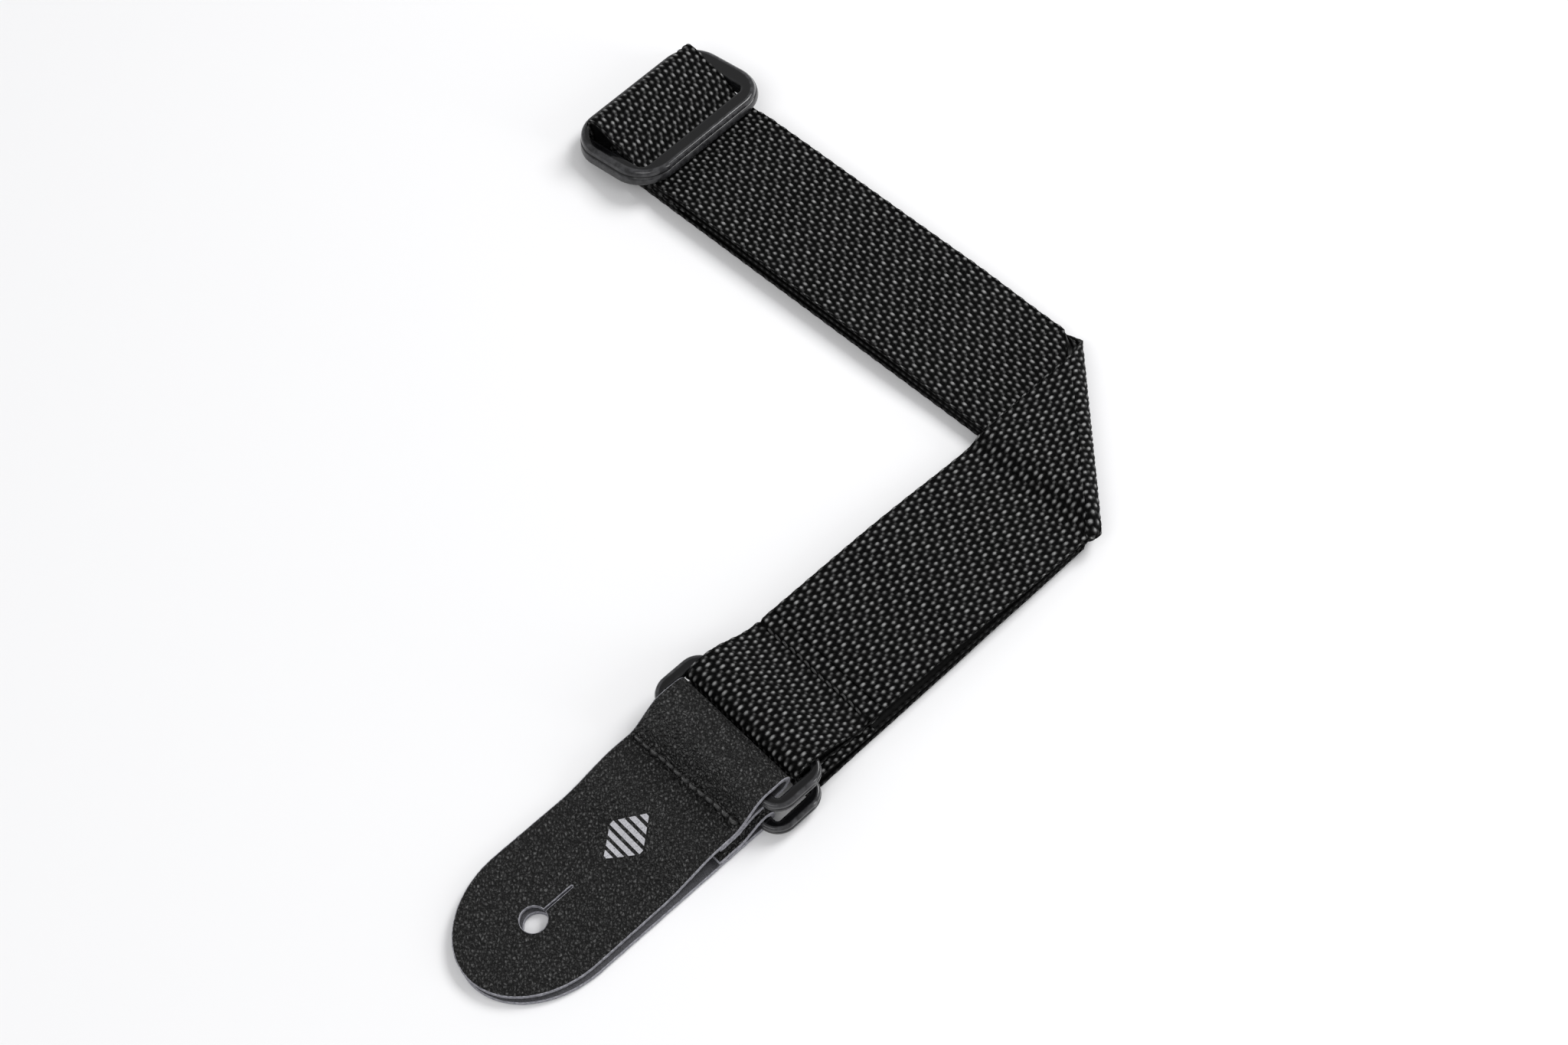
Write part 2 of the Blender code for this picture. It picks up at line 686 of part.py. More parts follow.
build_upper_leg()
for layer, layer_name in enumerate(("main", "return", "under")):
    build_fold("webbing_fold_" + layer_name, layer)
build_lower_leg()
build_ring_a_eye()
build_ring_b_turn()
build_slider_eye()
build_slider_arch()
build_slider()
build_ring("ring_a", RING_A)
build_ring("ring_b", RING_B)
TAB_A = build_tab("tab_a", RING_A[0] + BAR_OFFSET, TAB_A_ACROSS, tab_route_a(), TAB_A_TURN)
TAB_B = build_tab("tab_b", RING_B[0] + BAR_OFFSET, TAB_B_ACROSS, tab_route_b(), TAB_B_TURN)
build_mark(*TAB_A)
build_stitching(TAB_A, TAB_B)
build_pivots()
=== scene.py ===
"""Guitar strap of black webbing, folded once at its middle, with its slider, rings and tabs.

Lengths are in millimetres and are turned into metres by MM where points are placed. A place on a
leg is given by along, the distance from the fold point outwards along the leg; across, the
distance from the leg's centre line towards the fold's outer edge; and height above the floor.
"""

import math

import bmesh
import bpy
import numpy as np
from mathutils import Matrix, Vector
from mathutils.geometry import delaunay_2d_cdt


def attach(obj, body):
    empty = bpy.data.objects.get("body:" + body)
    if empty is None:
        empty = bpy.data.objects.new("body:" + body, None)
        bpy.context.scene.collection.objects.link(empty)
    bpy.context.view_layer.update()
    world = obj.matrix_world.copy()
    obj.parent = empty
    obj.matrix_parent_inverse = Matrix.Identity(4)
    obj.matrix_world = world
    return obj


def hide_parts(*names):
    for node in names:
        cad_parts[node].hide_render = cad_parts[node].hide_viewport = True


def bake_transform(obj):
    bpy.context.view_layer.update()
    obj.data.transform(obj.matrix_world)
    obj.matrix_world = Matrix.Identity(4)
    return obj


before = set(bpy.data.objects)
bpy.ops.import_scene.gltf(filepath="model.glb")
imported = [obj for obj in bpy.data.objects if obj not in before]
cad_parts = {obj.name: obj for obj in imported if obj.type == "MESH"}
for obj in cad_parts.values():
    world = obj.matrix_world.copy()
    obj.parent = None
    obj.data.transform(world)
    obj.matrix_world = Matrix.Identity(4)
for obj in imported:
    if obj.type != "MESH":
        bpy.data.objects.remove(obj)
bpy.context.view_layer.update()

MM = 0.001

# Plan of the fold and the legs
HALF_ANGLE = math.radians(43.5)
COS, SIN = math.cos(HALF_ANGLE), math.sin(HALF_ANGLE)
FOLD_POINT = (97.68, 9.57)
FOLD_SETBACK = 6.1
FOLD_HEIGHT = 6.0
FOLD_PITCH = 2.1
FOLD_BULGES = (1.05, 2.9, 4.75)
FOLD_DRIFT = 1.2
FOLD_FULLNESS = (0.0, 1.4, 2.8)
FULLER_BEYOND = 10.0
SAG = 4.2
SAG_OUT = 10.0
SAG_ALONG = (36.0, 85.0)
STRAIGHT_FROM = 36.0
BEFORE_FOLD = 20.0
UPPER, LOWER = 1, -1

# Webbing
WIDTH = 48.4
THICK = 1.5
LOOP_WIDTH = 46.6
NARROWING = (60.0, 130.0)
STEP = 0.44
UNDER_HEIGHT = 0.75
MAIN_UPPER = ((75.0, 6.4), (165.0, 7.0))
RETURN_UPPER = ((75.0, 3.6), (150.0, 4.35))
UNDER_LOWER = ((85.0, 9.2), (120.0, 8.8))
RETURN_LOWER = ((90.0, 5.2), (125.0, 4.6))
MAIN_LOWER = ((95.0, 1.9), (125.0, 1.2))

# Weave: raised yarn floats on a staggered grid, over picks that pass between them
RIB = 1.74
REPEAT = 5.36
FLOATS = ((0.0, 0.0, 1.35, 0.86, 1.0), (2.68, -0.97, 1.10, 0.84, 0.97),
          (0.0, -1.97, 1.10, 0.84, 0.97), (1.25, -2.44, 0.80, 0.72, 0.80))
PICK = 1.34
PICK_TOP = 0.36
RELIEF = 0.52
SELVAGE_PITCH = 2.64
SELVAGE_RELIEF = 0.28
WEAVE_DATUM = 0.80
COARSE_HEIGHT = 0.5

# Webbing round the bars
EYE_RADIUS = 3.25
EYE_A_ACROSS = -0.9
EYE_A_SLACK = 3.7
EYE_A_RISE = 128.0
EYE_A_TAIL = ((130.0, 7.0), (121.5, 7.0))
EYE_B_ACROSS = 1.6
SLIDER_EYE_RISE = 181.0
SLIDER_EYE_TAIL = ((180.0, 2.55), (163.5, 2.55))
ARCH_DIP = ((172.0, 6.15), (178.3, 6.15))
ARCH_OVER_BAR = 12.8
ARCH_CREST = 15.9
ARCH_OUTER = 206.0
ARCH_CURL = 3.6
ARCH_SLOT = (204.7, 8.6)
ARCH_FOOT = 3.2
WEB_ACROSS_SLIDER = 1.0
DRAWN_FROM = 45.0

# Slider and rings
SLIDER = (192.0, 2.2, 7.74)
SLIDER_TIP = math.radians(9.0)
SLIDER_SIZE, SLIDER_CORNER = (40.4, 64.6), 13.5
SLIDER_WINDOW, SLIDER_WINDOW_CORNER = (28.4, 50.4), 3.0
SLIDER_WINDOW_SHIFT = -1.3
SLIDER_FLARE = 1.8
SLIDER_HALF_THICK = 2.7
SLIDER_ROUNDING, SLIDER_GROOVE = (1.1, 0.7), (0.75, 0.35)
CENTRE_BAR = (4.4, 3.2)
BAR_RUN_IN = 1.5
RING_SIZE, RING_CORNER = (22.0, 56.0), 7.0
RING_WINDOW, RING_WINDOW_CORNER = (14.0, 48.0), 1.2
RING_HALF_THICK = 1.5
RING_ROUNDING, RING_GROOVE = (0.8, 0.6), (0.15, -0.1)
RING_FLARE = 0.3
BAR_OFFSET = 9.0
RING_A = (156.7, -0.7, 12.6)
RING_B = (159.1, 1.8, 4.1)

# Leather tabs
LEATHER = 1.6
TAB_WIDTH = 44.8
TAB_TIP = 260.0
TAB_RUN_ON = 2.0
TAB_ROUND = 29.0
TAB_LOOP_RADIUS = 3.3
HOLE_ALONG = 235.5
HOLE_RADIUS = 4.0
SLIT_END = 221.0
SLIT_HALF = 0.28
NEAR_BAR = 2.8
TAB_A_SEWN = 7.5
TAB_A_FLAT = 2.7
TAB_A_FALL = (184.0, 206.0)
TAB_A_ACROSS = -1.4
TAB_A_SLACK = 5.5
TAB_A_TURN = math.radians(-0.2)
TAB_A_TAIL = ((184.0, 5.6), (179.0, 5.6))
TAB_A_CLOSED = 179.0
TAB_B_ACROSS = 0.7
TAB_B_TURN = math.radians(-0.7)
TAB_B_TAIL = ((186.0, 3.0), (178.0, 3.0))
RIM = 0.25
SHEET_STEP = 0.8
RIM_ROWS = ((0.18, 0.92), (RIM, 0.62), (RIM - 0.04, 0.0), (RIM, -0.62), (0.18, -0.92))
WAVY_BEYOND = 0.2
CLEAR_OF_OUTLINE, CLEAR_OF_KEYHOLE = 0.4, 0.35
FLESH, GRAIN, CUT = 0, 1, 2

# Stitching: a seam is its middle along the leg, its half length across it, and its lean
STITCH_PITCH = 3.2
STITCH_REACH = 0.42
STITCH_WANDER = 0.28
STITCH_SLANT = 0.25
TAB_A_SEAM = (176.6, 20.8, -0.055)
TAB_B_SEAM = (181.5, 19.0, 0.0)
EYE_A_SEAM = (125.5, 21.5, 0.0)
SLIDER_EYE_SEAM = (168.5, 22.5, 0.0)
SEAM_REACH = 0.8
SEAM_DEPTH = 0.32
SEAM_NARROWS = 0.022
SEAM_FLATTENS = 0.5

# Printed mark
MARK_SPAN = (191.0, 209.0)
MARK_WIDTH = 14.0
STRIPES = 7
STRIPE_HALF = 0.30
PRINT_HALF_THICK = 0.05

# Stage
FLOOR_REACH = 6.0
FLOOR_LEVEL = -0.0003
WORLD_STRENGTH = 0.45

# Camera
VIEW_CENTRE = (-1.84, -19.34)
VIEW_TURN = math.radians(0.73)
VIEW_RISE = math.radians(58.98)
VIEW_DISTANCE = 686.4


# --- materials ------------------------------------------------------

class Shader:
    """A Principled material and short ways to add nodes to it."""

    def __init__(self, name, colour, roughness, **constants):
        self.material = bpy.data.materials.new(name)
        self.material.use_nodes = True
        self.tree = self.material.node_tree
        self.shader = self.tree.nodes["Principled BSDF"]
        self.shader.inputs["Base Color"].default_value = (*colour, 1.0)
        self.shader.inputs["Roughness"].default_value = roughness
        for socket, value in constants.items():
            self.shader.inputs[socket.replace("_", " ")].default_value = value
        self.material.diffuse_color = (*colour, 1.0)

    def node(self, kind, inputs=None, **settings):
        node = self.tree.nodes.new(kind)
        for key, value in settings.items():
            setattr(node, key, value)
        for socket, value in (inputs or {}).items():
            if isinstance(value, bpy.types.NodeSocket):
                self.tree.links.new(value, node.inputs[socket])
            else:
                node.inputs[socket].default_value = value
        return node

    def link(self, output, socket):
        self.tree.links.new(output, self.shader.inputs[socket])

    def place(self, scale=(1000.0, 1000.0, 1000.0)):
        """Coordinates in millimetres on the piece, which move with it."""
        where = self.node("ShaderNodeTexCoord").outputs["Object"]
        return self.node("ShaderNodeMapping", {"Vector": where, "Scale": scale}).outputs["Vector"]

    def cloth_place(self, scale):
        """The place in the cloth, along and across it."""
        where = self.node("ShaderNodeUVMap", uv_map="cloth").outputs["UV"]
        return self.node("ShaderNodeMapping", {"Vector": where, "Scale": scale}).outputs["Vector"]

    def noise(self, where, scale, detail=3.0):
        inputs = {"Vector": where, "Scale": scale, "Detail": detail}
        return self.node("ShaderNodeTexNoise", inputs).outputs["Fac"]

    def ramp(self, value, stops):
        """stops: (position, level or colour) pairs."""
        node = self.node("ShaderNodeValToRGB", {"Fac": value})
        elements = node.color_ramp.elements
        while len(elements) < len(stops):
            elements.new(0.5)
        for element, (position, colour) in zip(elements, stops):
            element.position = position
            colour = colour if isinstance(colour, tuple) else (colour,) * 3
            element.color = (*colour, 1.0)
        return node.outputs["Color"]

    def math(self, operation, first, second):
        return self.node("ShaderNodeMath", {0: first, 1: second}, operation=operation).outputs[0]

    def mix(self, factor, first, second):
        node = self.node("ShaderNodeMix", data_type="RGBA")
        for index, value in ((0, factor), (6, first), (7, second)):
            if isinstance(value, bpy.types.NodeSocket):
                self.tree.links.new(value, node.inputs[index])
            else:
                node.inputs[index].default_value = value
        return node.outputs[2]

    def bump(self, height, strength, distance):
        inputs = {"Height": height, "Strength": strength, "Distance": distance}
        self.link(self.node("ShaderNodeBump", inputs).outputs["Normal"], "Normal")


def webbing_material():
    """Black filament yarn: float tops painted lighter as a painted highlight and made glossier,
    pits painted near black as painted shade, fine lengthwise filaments.
    """
    m = Shader("webbing", (0.02, 0.02, 0.02), 0.5, Specular_IOR_Level=0.07)
    weave = m.node("ShaderNodeAttribute", attribute_name="weave").outputs["Fac"]
    blotch = m.noise(m.place(), 0.35)
    filaments = m.noise(m.cloth_place((0.9, 7.0, 1.0)), 1.0, 4.0)
    uneven = m.math("MULTIPLY", m.math("ADD", blotch, m.math("MULTIPLY", filaments, 1.6)), 0.14)
    level = m.math("SUBTRACT", m.math("ADD", weave, uneven), 0.18)
    # Painted highlight and painted shade: the weave height sets the colour, pale on the float tops
    # and near black in the pits.
    stops = ((0.20, 0.0), (0.42, 0.003), (0.60, 0.016), (0.76, 0.060), (0.88, 0.17), (1.0, 0.32))
    m.link(m.ramp(level, stops), "Base Color")
    m.link(m.ramp(weave, ((0.0, 0.9), (0.6, 0.55), (1.0, 0.34))), "Roughness")
    m.bump(filaments, 0.6, 0.00014)
    return m.material


def plastic_material():
    """Moulded black plastic: faint mottling, and rims and walls painted paler in blotches as a
    painted highlight.
    """
    m = Shader("plastic", (0.008, 0.008, 0.0085), 0.3, Specular_IOR_Level=0.20,
               Coat_Weight=0.40, Coat_Roughness=0.04)
    highlight_weight = m.node("ShaderNodeAttribute", attribute_name="rim").outputs["Fac"]
    grain = m.noise(m.place(), 1.6, 5.0)
    painted_highlight = m.math("MULTIPLY", highlight_weight, m.ramp(m.noise(m.place(), 0.5), ((0.35, 0.3), (0.7, 1.0))))
    # Painted highlight: rims and walls, weighted by the rim attribute, are painted paler than the
    # black face.
    m.link(m.mix(painted_highlight, (0.004, 0.004, 0.0045, 1.0), (0.060, 0.060, 0.064, 1.0)), "Base Color")
    m.link(m.ramp(grain, ((0.3, 0.14), (0.7, 0.20))), "Roughness")
    m.bump(m.noise(m.place(), 3.0, 4.0), 0.04, 0.0001)
    return m.material


def leather_material():
    """Black finished leather: small grain cells with dark creases between, and a dull sheen."""
    m = Shader("leather", (0.03, 0.03, 0.03), 0.5, Specular_IOR_Level=0.40)
    wander = m.node("ShaderNodeVectorMath", {0: m.place((900.0, 900.0, 900.0)), 1: m.node(
        "ShaderNodeTexNoise", {"Vector": m.place(), "Scale": 0.7}).outputs["Color"]},
        operation="ADD").outputs[0]
    cells = m.node("ShaderNodeTexVoronoi", {"Vector": wander, "Scale": 0.95},
                   feature="DISTANCE_TO_EDGE").outputs["Distance"]
    pebble = m.ramp(cells, ((0.0, 0.0), (0.10, 0.45), (0.38, 1.0)))
    grain = m.noise(m.place((1500.0, 750.0, 1000.0)), 1.1, 6.0)
    tone = m.ramp(grain, ((0.42, 0.007), (0.52, 0.044), (0.62, 0.145)))
    m.link(m.mix(pebble, (0.001, 0.001, 0.001, 1.0), tone), "Base Color")
    m.link(m.ramp(m.noise(m.place(), 1.1, 4.0), ((0.3, 0.34), (0.7, 0.52))), "Roughness")
    m.bump(m.math("ADD", pebble, grain), 1.0, 0.0014)
    return m.material


def flesh_material():
    """The leather's rough back."""
    m = Shader("leather_flesh", (0.05, 0.05, 0.055), 0.9)
    nap = m.noise(m.place(), 3.5, 6.0)
    m.link(m.ramp(nap, ((0.3, (0.028, 0.028, 0.031)), (0.7, (0.080, 0.080, 0.090)))), "Base Color")
    m.bump(nap, 0.6, 0.0003)
    return m.material


def cut_material():
    """The leather's cut edge: pale grey fibres."""
    m = Shader("leather_cut_edge", (0.2, 0.2, 0.22), 0.85)
    fibre = m.noise(m.place((900.0, 900.0, 2600.0)), 1.4, 6.0)
    stops = ((0.30, (0.10, 0.10, 0.115)), (0.55, (0.27, 0.27, 0.30)), (0.75, (0.42, 0.42, 0.46)))
    m.link(m.ramp(fibre, stops), "Base Color")
    m.bump(fibre, 0.7, 0.0003)
    return m.material


def thread_material():
    """Black sewing thread, twisted."""
    m = Shader("thread", (0.02, 0.02, 0.02), 0.35, Specular_IOR_Level=0.7)
    where = m.cloth_place((1.0, 1.0, 1.0))
    twist = m.node("ShaderNodeTexWave", {"Vector": where, "Scale": 1.0, "Distortion": 0.4},
                   bands_direction="DIAGONAL").outputs["Fac"]
    m.link(m.ramp(twist, ((0.1, 0.001), (0.9, 0.060))), "Base Color")
    m.bump(twist, 0.8, 0.00015)
    return m.material


def print_material():
    """Silver ink, slightly broken where it crosses the leather's grain."""
    m = Shader("silver_print", (0.5, 0.5, 0.53), 0.42, Metallic=0.25)
    speck = m.noise(m.place(), 3.2, 5.0)
    stops = ((0.30, (0.10, 0.10, 0.11)), (0.42, (0.46, 0.46, 0.49)), (0.8, (0.62, 0.62, 0.66)))
    m.link(m.ramp(speck, stops), "Base Color")
    m.bump(speck, 0.25, 0.0001)
    return m.material


WEBBING = webbing_material()
PLASTIC = plastic_material()
LEATHERS = [flesh_material(), leather_material(), cut_material()]
THREAD = thread_material()
PRINT = print_material()


# --- meshes ---------------------------------------------------------

def add_piece(name, vertices, faces, materials, body, replaces):
    """A smooth piece that rides on body, or none if body is None, and stands for CAD nodes."""
    mesh = bpy.data.meshes.new(name)
    mesh.from_pydata(np.asarray(vertices).reshape(-1, 3).tolist(), [], faces)
    for material in materials:
        mesh.materials.append(material)
    mesh.shade_smooth()
    piece = bpy.data.objects.new(name, mesh)
    bpy.context.scene.collection.objects.link(piece)
    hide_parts(*replaces)
    if body:
        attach(piece, body)
    return piece


def face_outwards(mesh):
    """Turn the faces of closed shells so that they all face outwards."""
    shells = bmesh.new()
    shells.from_mesh(mesh)
    bmesh.ops.recalc_face_normals(shells, faces=shells.faces)
    shells.to_mesh(mesh)
    shells.free()


def set_values(mesh, name, values):
    """Store one number for each point."""
    attribute = mesh.attributes.new(name, "FLOAT", "POINT")
    attribute.data.foreach_set("value", np.asarray(values, dtype=np.float32).ravel())


def set_uv(mesh, name, per_vertex):
    """Store a pair for each point as a UV map."""
    layer = mesh.uv_layers.new(name=name)
    corners = np.empty(len(mesh.loops), dtype=np.int32)
    mesh.loops.foreach_get("vertex_index", corners)
    layer.data.foreach_set("uv", np.asarray(per_vertex)[corners].astype(np.float32).ravel())


def tube_faces(rows, columns, flip, first=0, around=False):
    """Quads of a skin of rows x columns points that closes across its columns, and its two caps."""
    steps = rows if around else rows - 1
    i, j = np.meshgrid(np.arange(steps), np.arange(columns), indexing="ij")
    ahead, beside = (i + 1) % rows, (j + 1) % columns
    quads = np.stack([i * columns + j, i * columns + beside, ahead * columns + beside,
                      ahead * columns + j], axis=-1).reshape(-1, 4) + first
    if flip:
        quads = quads[:, ::-1]
    faces = quads.tolist()
    if not around:
        start = [first + k for k in range(columns)][::1 if flip else -1]
        end = [first + (rows - 1) * columns + k for k in range(columns)][::-1 if flip else 1]
        faces += [start, end]
    return faces


# --- places and routes ----------------------------------------------

def leg_point(side, along, across, height):
    """Points on a leg, in metres."""
    x = FOLD_POINT[0] - along * COS + across * SIN
    y = FOLD_POINT[1] + side * (along * SIN + across * COS)
    return np.stack(np.broadcast_arrays(x, y, height), axis=-1) * MM


def leg_spot(side, along, height):
    return tuple(float(value) for value in leg_point(side, along, 0.0, height))


def level(part):
    """A smooth rise from 0 to 1 as part goes from 0 to 1."""
    part = np.clip(part, 0.0, 1.0)
    return part * part * (3.0 - 2.0 * part)


def sagged(points):
    """Webbing points near the fold, let down where the upper leg does not lie beneath them."""
    x, y = points[..., 0] / MM - FOLD_POINT[0], points[..., 1] / MM - FOLD_POINT[1]
    beyond = -(x * SIN + y * COS) - WIDTH / 2.0
    along = -(x * COS + y * SIN)
    start, end = SAG_ALONG
    sag = SAG * level(beyond / SAG_OUT) * (1.0 - level((along - start) / (end - start)))
    points = points.copy()
    points[..., 2] -= sag * MM
    return points


def ease(start, end, steps=16):
    """Route points that lead smoothly from start, which is left out, to end."""
    points = []
    for step in range(1, steps + 1):
        part = step / steps
        along = start[0] + (end[0] - start[0]) * part
        points.append((along, start[1] + (end[1] - start[1]) * level(part)))
    return points


def turn(centre, radius, first, last, steps=28):
    """Route points round a bar, without the first; angles are in degrees."""
    points = []
    for step in range(1, steps + 1):
        angle = math.radians(first + (last - first) * step / steps)
        points.append((centre[0] + radius * math.cos(angle), centre[1] + radius * math.sin(angle)))
    return points


def above(centre, radius):
    return (centre[0], centre[1] + radius)


def below(centre, radius):
    return (centre[0], centre[1] - radius)


def between(along, start, end, first, last):
    """A value that goes from first to last between two distances along the leg."""
    return first + (last - first) * np.clip((along - start) / (end - start), 0.0, 1.0)


class Ribbon:
    """A strip's route, where s runs along it, e across it and d out of its outer face."""

    def __init__(self, route, place):
        points = np.array(route, dtype=float)
        steps = np.hypot(*np.diff(points, axis=0).T)
        points = points[np.concatenate([[True], steps > 1e-6])]
        path = np.concatenate([[0.0], np.cumsum(np.hypot(*np.diff(points, axis=0).T))])
        self.length = path[-1]
        self.s = np.linspace(0.0, self.length, max(2, round(self.length / 0.15)) + 1)
        self.along = np.interp(self.s, path, points[:, 0])
        self.height = np.interp(self.s, path, points[:, 1])
        lean = np.gradient(self.along, self.s), np.gradient(self.height, self.s)
        size = np.hypot(*lean)
        self.out = (-lean[1] / size, lean[0] / size)
        self.place = place

    def at(self, s, e, d):
        along, height = self.along_at(s), np.interp(s, self.s, self.height)
        out = [np.interp(s, self.s, part) for part in self.out]
        return self.place(along + out[0] * d, e, height + out[1] * d, along)

    def along_at(self, s):
        return np.interp(s, self.s, self.along)

    def s_at(self, along):
        """Where the last stretch that heads outwards passes a distance along the leg."""
        last = np.flatnonzero(np.diff(self.along) <= 0.0)
        first = last[-1] + 1 if len(last) else 0
        return np.interp(along, self.along[first:], self.s[first:])


# --- webbing --------------------------------------------------------

def weave_height(u, v):
    """Height of the webbing's face, from 0 in its pits to 1 on its longest floats."""
    pick = np.sqrt(np.abs(np.cos(math.pi * u / PICK)))
    height = PICK_TOP * pick * (0.75 + 0.25 * np.cos(2.0 * math.pi * v / RIB))
    for middle_u, middle_v, half_u, half_v, top in FLOATS:
        row = np.round((v - middle_v) / (2.0 * RIB))
        off_u = u - middle_u - row * REPEAT / 2.0
        number = np.round(off_u / REPEAT)
        off_u = off_u - number * REPEAT
        off_v = v - middle_v - row * 2.0 * RIB
        far = np.clip((off_u / half_u) ** 2 + (off_v / half_v) ** 2, 0.0, 1.0)
        uneven = 0.5 + 0.5 * np.sin(12.9 * row + 78.2 * number + 31.7 * half_u)
        height = np.maximum(height, (top - 0.10 * uneven) * (1.0 - far) ** 0.42)
    return height


def section(fine_top, fine_bottom):
    """The webbing's cut end as a loop of points: distance across, depth, and which face."""
    flat = WIDTH / 2.0 - THICK / 2.0
    fine = np.arange(-56, 57) * RIB / 4.0
    coarse = np.linspace(fine[0], fine[-1], 29)
    top, bottom = (fine if wanted else coarse for wanted in (fine_top, fine_bottom))
    bend = np.radians(np.linspace(75.0, -75.0, 7))
    across = np.concatenate([top, flat + THICK / 2.0 * np.cos(bend), bottom[::-1],
                             -flat - THICK / 2.0 * np.cos(bend)])
    depth = np.concatenate([np.full(len(top), THICK / 2.0), THICK / 2.0 * np.sin(bend),
                            np.full(len(bottom), -THICK / 2.0), -THICK / 2.0 * np.sin(bend)])
    face = np.concatenate([np.full(len(top), 1 if fine_top else 2), np.zeros(7),
                           np.full(len(bottom), -1 if fine_bottom else -2), np.zeros(7)])
    return across, depth, face


def woven(u, across, depth, face):
    """Points across and depth on the weave, with the height of the weave there."""
    height = weave_height(u + np.where(face < 0, PICK, 0.0), across)
    height = np.where(np.abs(face) == 2, COARSE_HEIGHT, height)
    edge = face == 0
    pick = np.abs(np.cos(math.pi * u / SELVAGE_PITCH)) ** 0.6
    height = np.where(edge, 0.20 + 0.5 * pick, height)
    depth = depth + np.sign(face) * RELIEF * (height - WEAVE_DATUM)
    across = across + np.where(edge, np.sign(across) * SELVAGE_RELIEF * (pick - 0.75), 0.0)
    depth = np.where(edge, depth * (0.80 + 0.20 * pick), depth)
    return across, depth, height


def webbing_piece(name, points, u, v, height, flip, body, node):
    """A closed stretch of webbing that carries its place in the weave and the weave's height."""
    rows, columns = points.shape[:2]
    faces = tube_faces(rows, columns, flip)
    piece = add_piece(name, points, faces, [WEBBING], body, [node])
    for cap in piece.data.polygons[-2:]:
        cap.use_smooth = False
    # The weave height also sets the painted highlight on the float tops and the painted shade in
    # the pits.
    set_values(piece.data, "weave", height)
    set_uv(piece.data, "cloth", np.stack(np.broadcast_arrays(u, v), axis=-1).reshape(-1, 2))
    return piece


def fold_start(across):
    """Distance along the leg at which the turn at the fold begins."""
    return (FOLD_SETBACK + across * SIN) / COS


def webbing_run(node, side, route, width, drift, body, u_first, u_sign, fine, seam=None,
                from_fold=False):
    """A stretch of webbing along a leg, with u_first + u_sign * s as its place in the weave."""
    def place(along, e, height, middle):
        return leg_point(side, along, e * width(middle) / WIDTH + drift(middle), height)

    ribbon = Ribbon(route, place)
    across, depth, face = section(*fine)
    across, depth, face = (value[None, :] for value in (across, depth, face))
    first = BEFORE_FOLD + STRAIGHT_FROM if from_fold else 0.0
    steps = round((ribbon.length - first) / STEP)
    s = np.linspace(first, ribbon.length, steps + 1)[:, None] + 0.0 * across
    if from_fold:
        start = BEFORE_FOLD + fold_start(across + FOLD_DRIFT)
        part = np.linspace(0.0, 1.0, 101)[:-1, None]
        s = np.concatenate([start + part * (first - start), s])
    u = u_first + u_sign * (s - (BEFORE_FOLD if from_fold else 0.0))
    e, d, height = woven(u, across, depth, face)
    if seam is not None:
        near = np.exp(-((s - seam) / SEAM_REACH) ** 2)
        d = d - np.sign(face) * SEAM_DEPTH * near
        e = e * (1.0 - SEAM_NARROWS * near)
        # A lower weave height here also dims the painted highlight along the seam.
        height = height * (1.0 - SEAM_FLATTENS * near)
    points = ribbon.at(s, e, d)
    if side == LOWER:
        points = sagged(points)
    piece = webbing_piece(node + "_woven", points, u, across, height, side == LOWER, body, node)
    return piece, ribbon


def fold_u_gap(order):
    """How much further the weave has run at the lower leg's fold point than at the upper's."""
    bulge, radius = FOLD_BULGES[order], FOLD_PITCH * (order + 0.5)
    angles = np.linspace(0.0, math.pi, 200)
    arc = np.hypot(np.diff(bulge * np.sin(angles)), np.diff(radius * np.cos(angles))).sum()
    return arc / COS - 2.0 * (FOLD_SETBACK + FOLD_DRIFT * SIN) / COS


def webbing_fold(node, order, u_origin, u_sign):
    """One layer's turn at the fold: half a flattened tube that slants from leg to leg."""
    radius = FOLD_PITCH * (order + 0.5)
    bulge = FOLD_BULGES[order]
    slant = FOLD_SETBACK * SIN / COS + FOLD_DRIFT / COS
    across, depth, face = (value[None, :] for value in section(True, False))
    rows = 12 + 14 * order
    part = np.linspace(0.0, 1.0, rows)[:, None]
    u = -fold_start(across + FOLD_DRIFT)
    u = u + part * (fold_u_gap(order) + 2.0 * (FOLD_SETBACK + FOLD_DRIFT * SIN) / COS)
    u = u_origin + u_sign * u
    e, d, height = woven(u, across, depth, face)
    angle = math.pi * (part - 0.5)
    out_x, out_z = np.cos(angle) / bulge, np.sin(angle) / radius
    size = np.hypot(out_x, out_z)
    x = FOLD_POINT[0] - FOLD_SETBACK + bulge * np.cos(angle) + d * out_x / size
    near_edge = np.clip((np.abs(e) - FULLER_BEYOND) / (WIDTH / 2.0 - FULLER_BEYOND), 0.0, 1.2) ** 2
    swell = np.where(e > 0.0, np.sin(math.pi * part ** 0.6), np.sin(math.pi * part ** 1.6))
    fuller = FOLD_FULLNESS[order] * swell * np.sign(e) * near_edge
    y = FOLD_POINT[1] + slant * (1.0 - 2.0 * part) + e / COS + fuller
    z = FOLD_HEIGHT + radius * np.sin(angle) + d * out_z / size
    points = sagged(np.stack(np.broadcast_arrays(x, y, z), axis=-1) * MM)
    piece = webbing_piece(node + "_woven", points, u, across, height, False, None, node)
    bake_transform(piece)
    return piece


def leg_route(height, rest, end):
    start = (STRAIGHT_FROM, height)
    return [(-BEFORE_FOLD, height), start] + ease(start, rest) + ease(rest, end)


def fold_height(side, order):
    return FOLD_HEIGHT - side * FOLD_PITCH * (order + 0.5)


def full_width(along):
    return WIDTH + 0.0 * along


def loop_width(along):
    return between(along, *NARROWING, WIDTH, LOOP_WIDTH)


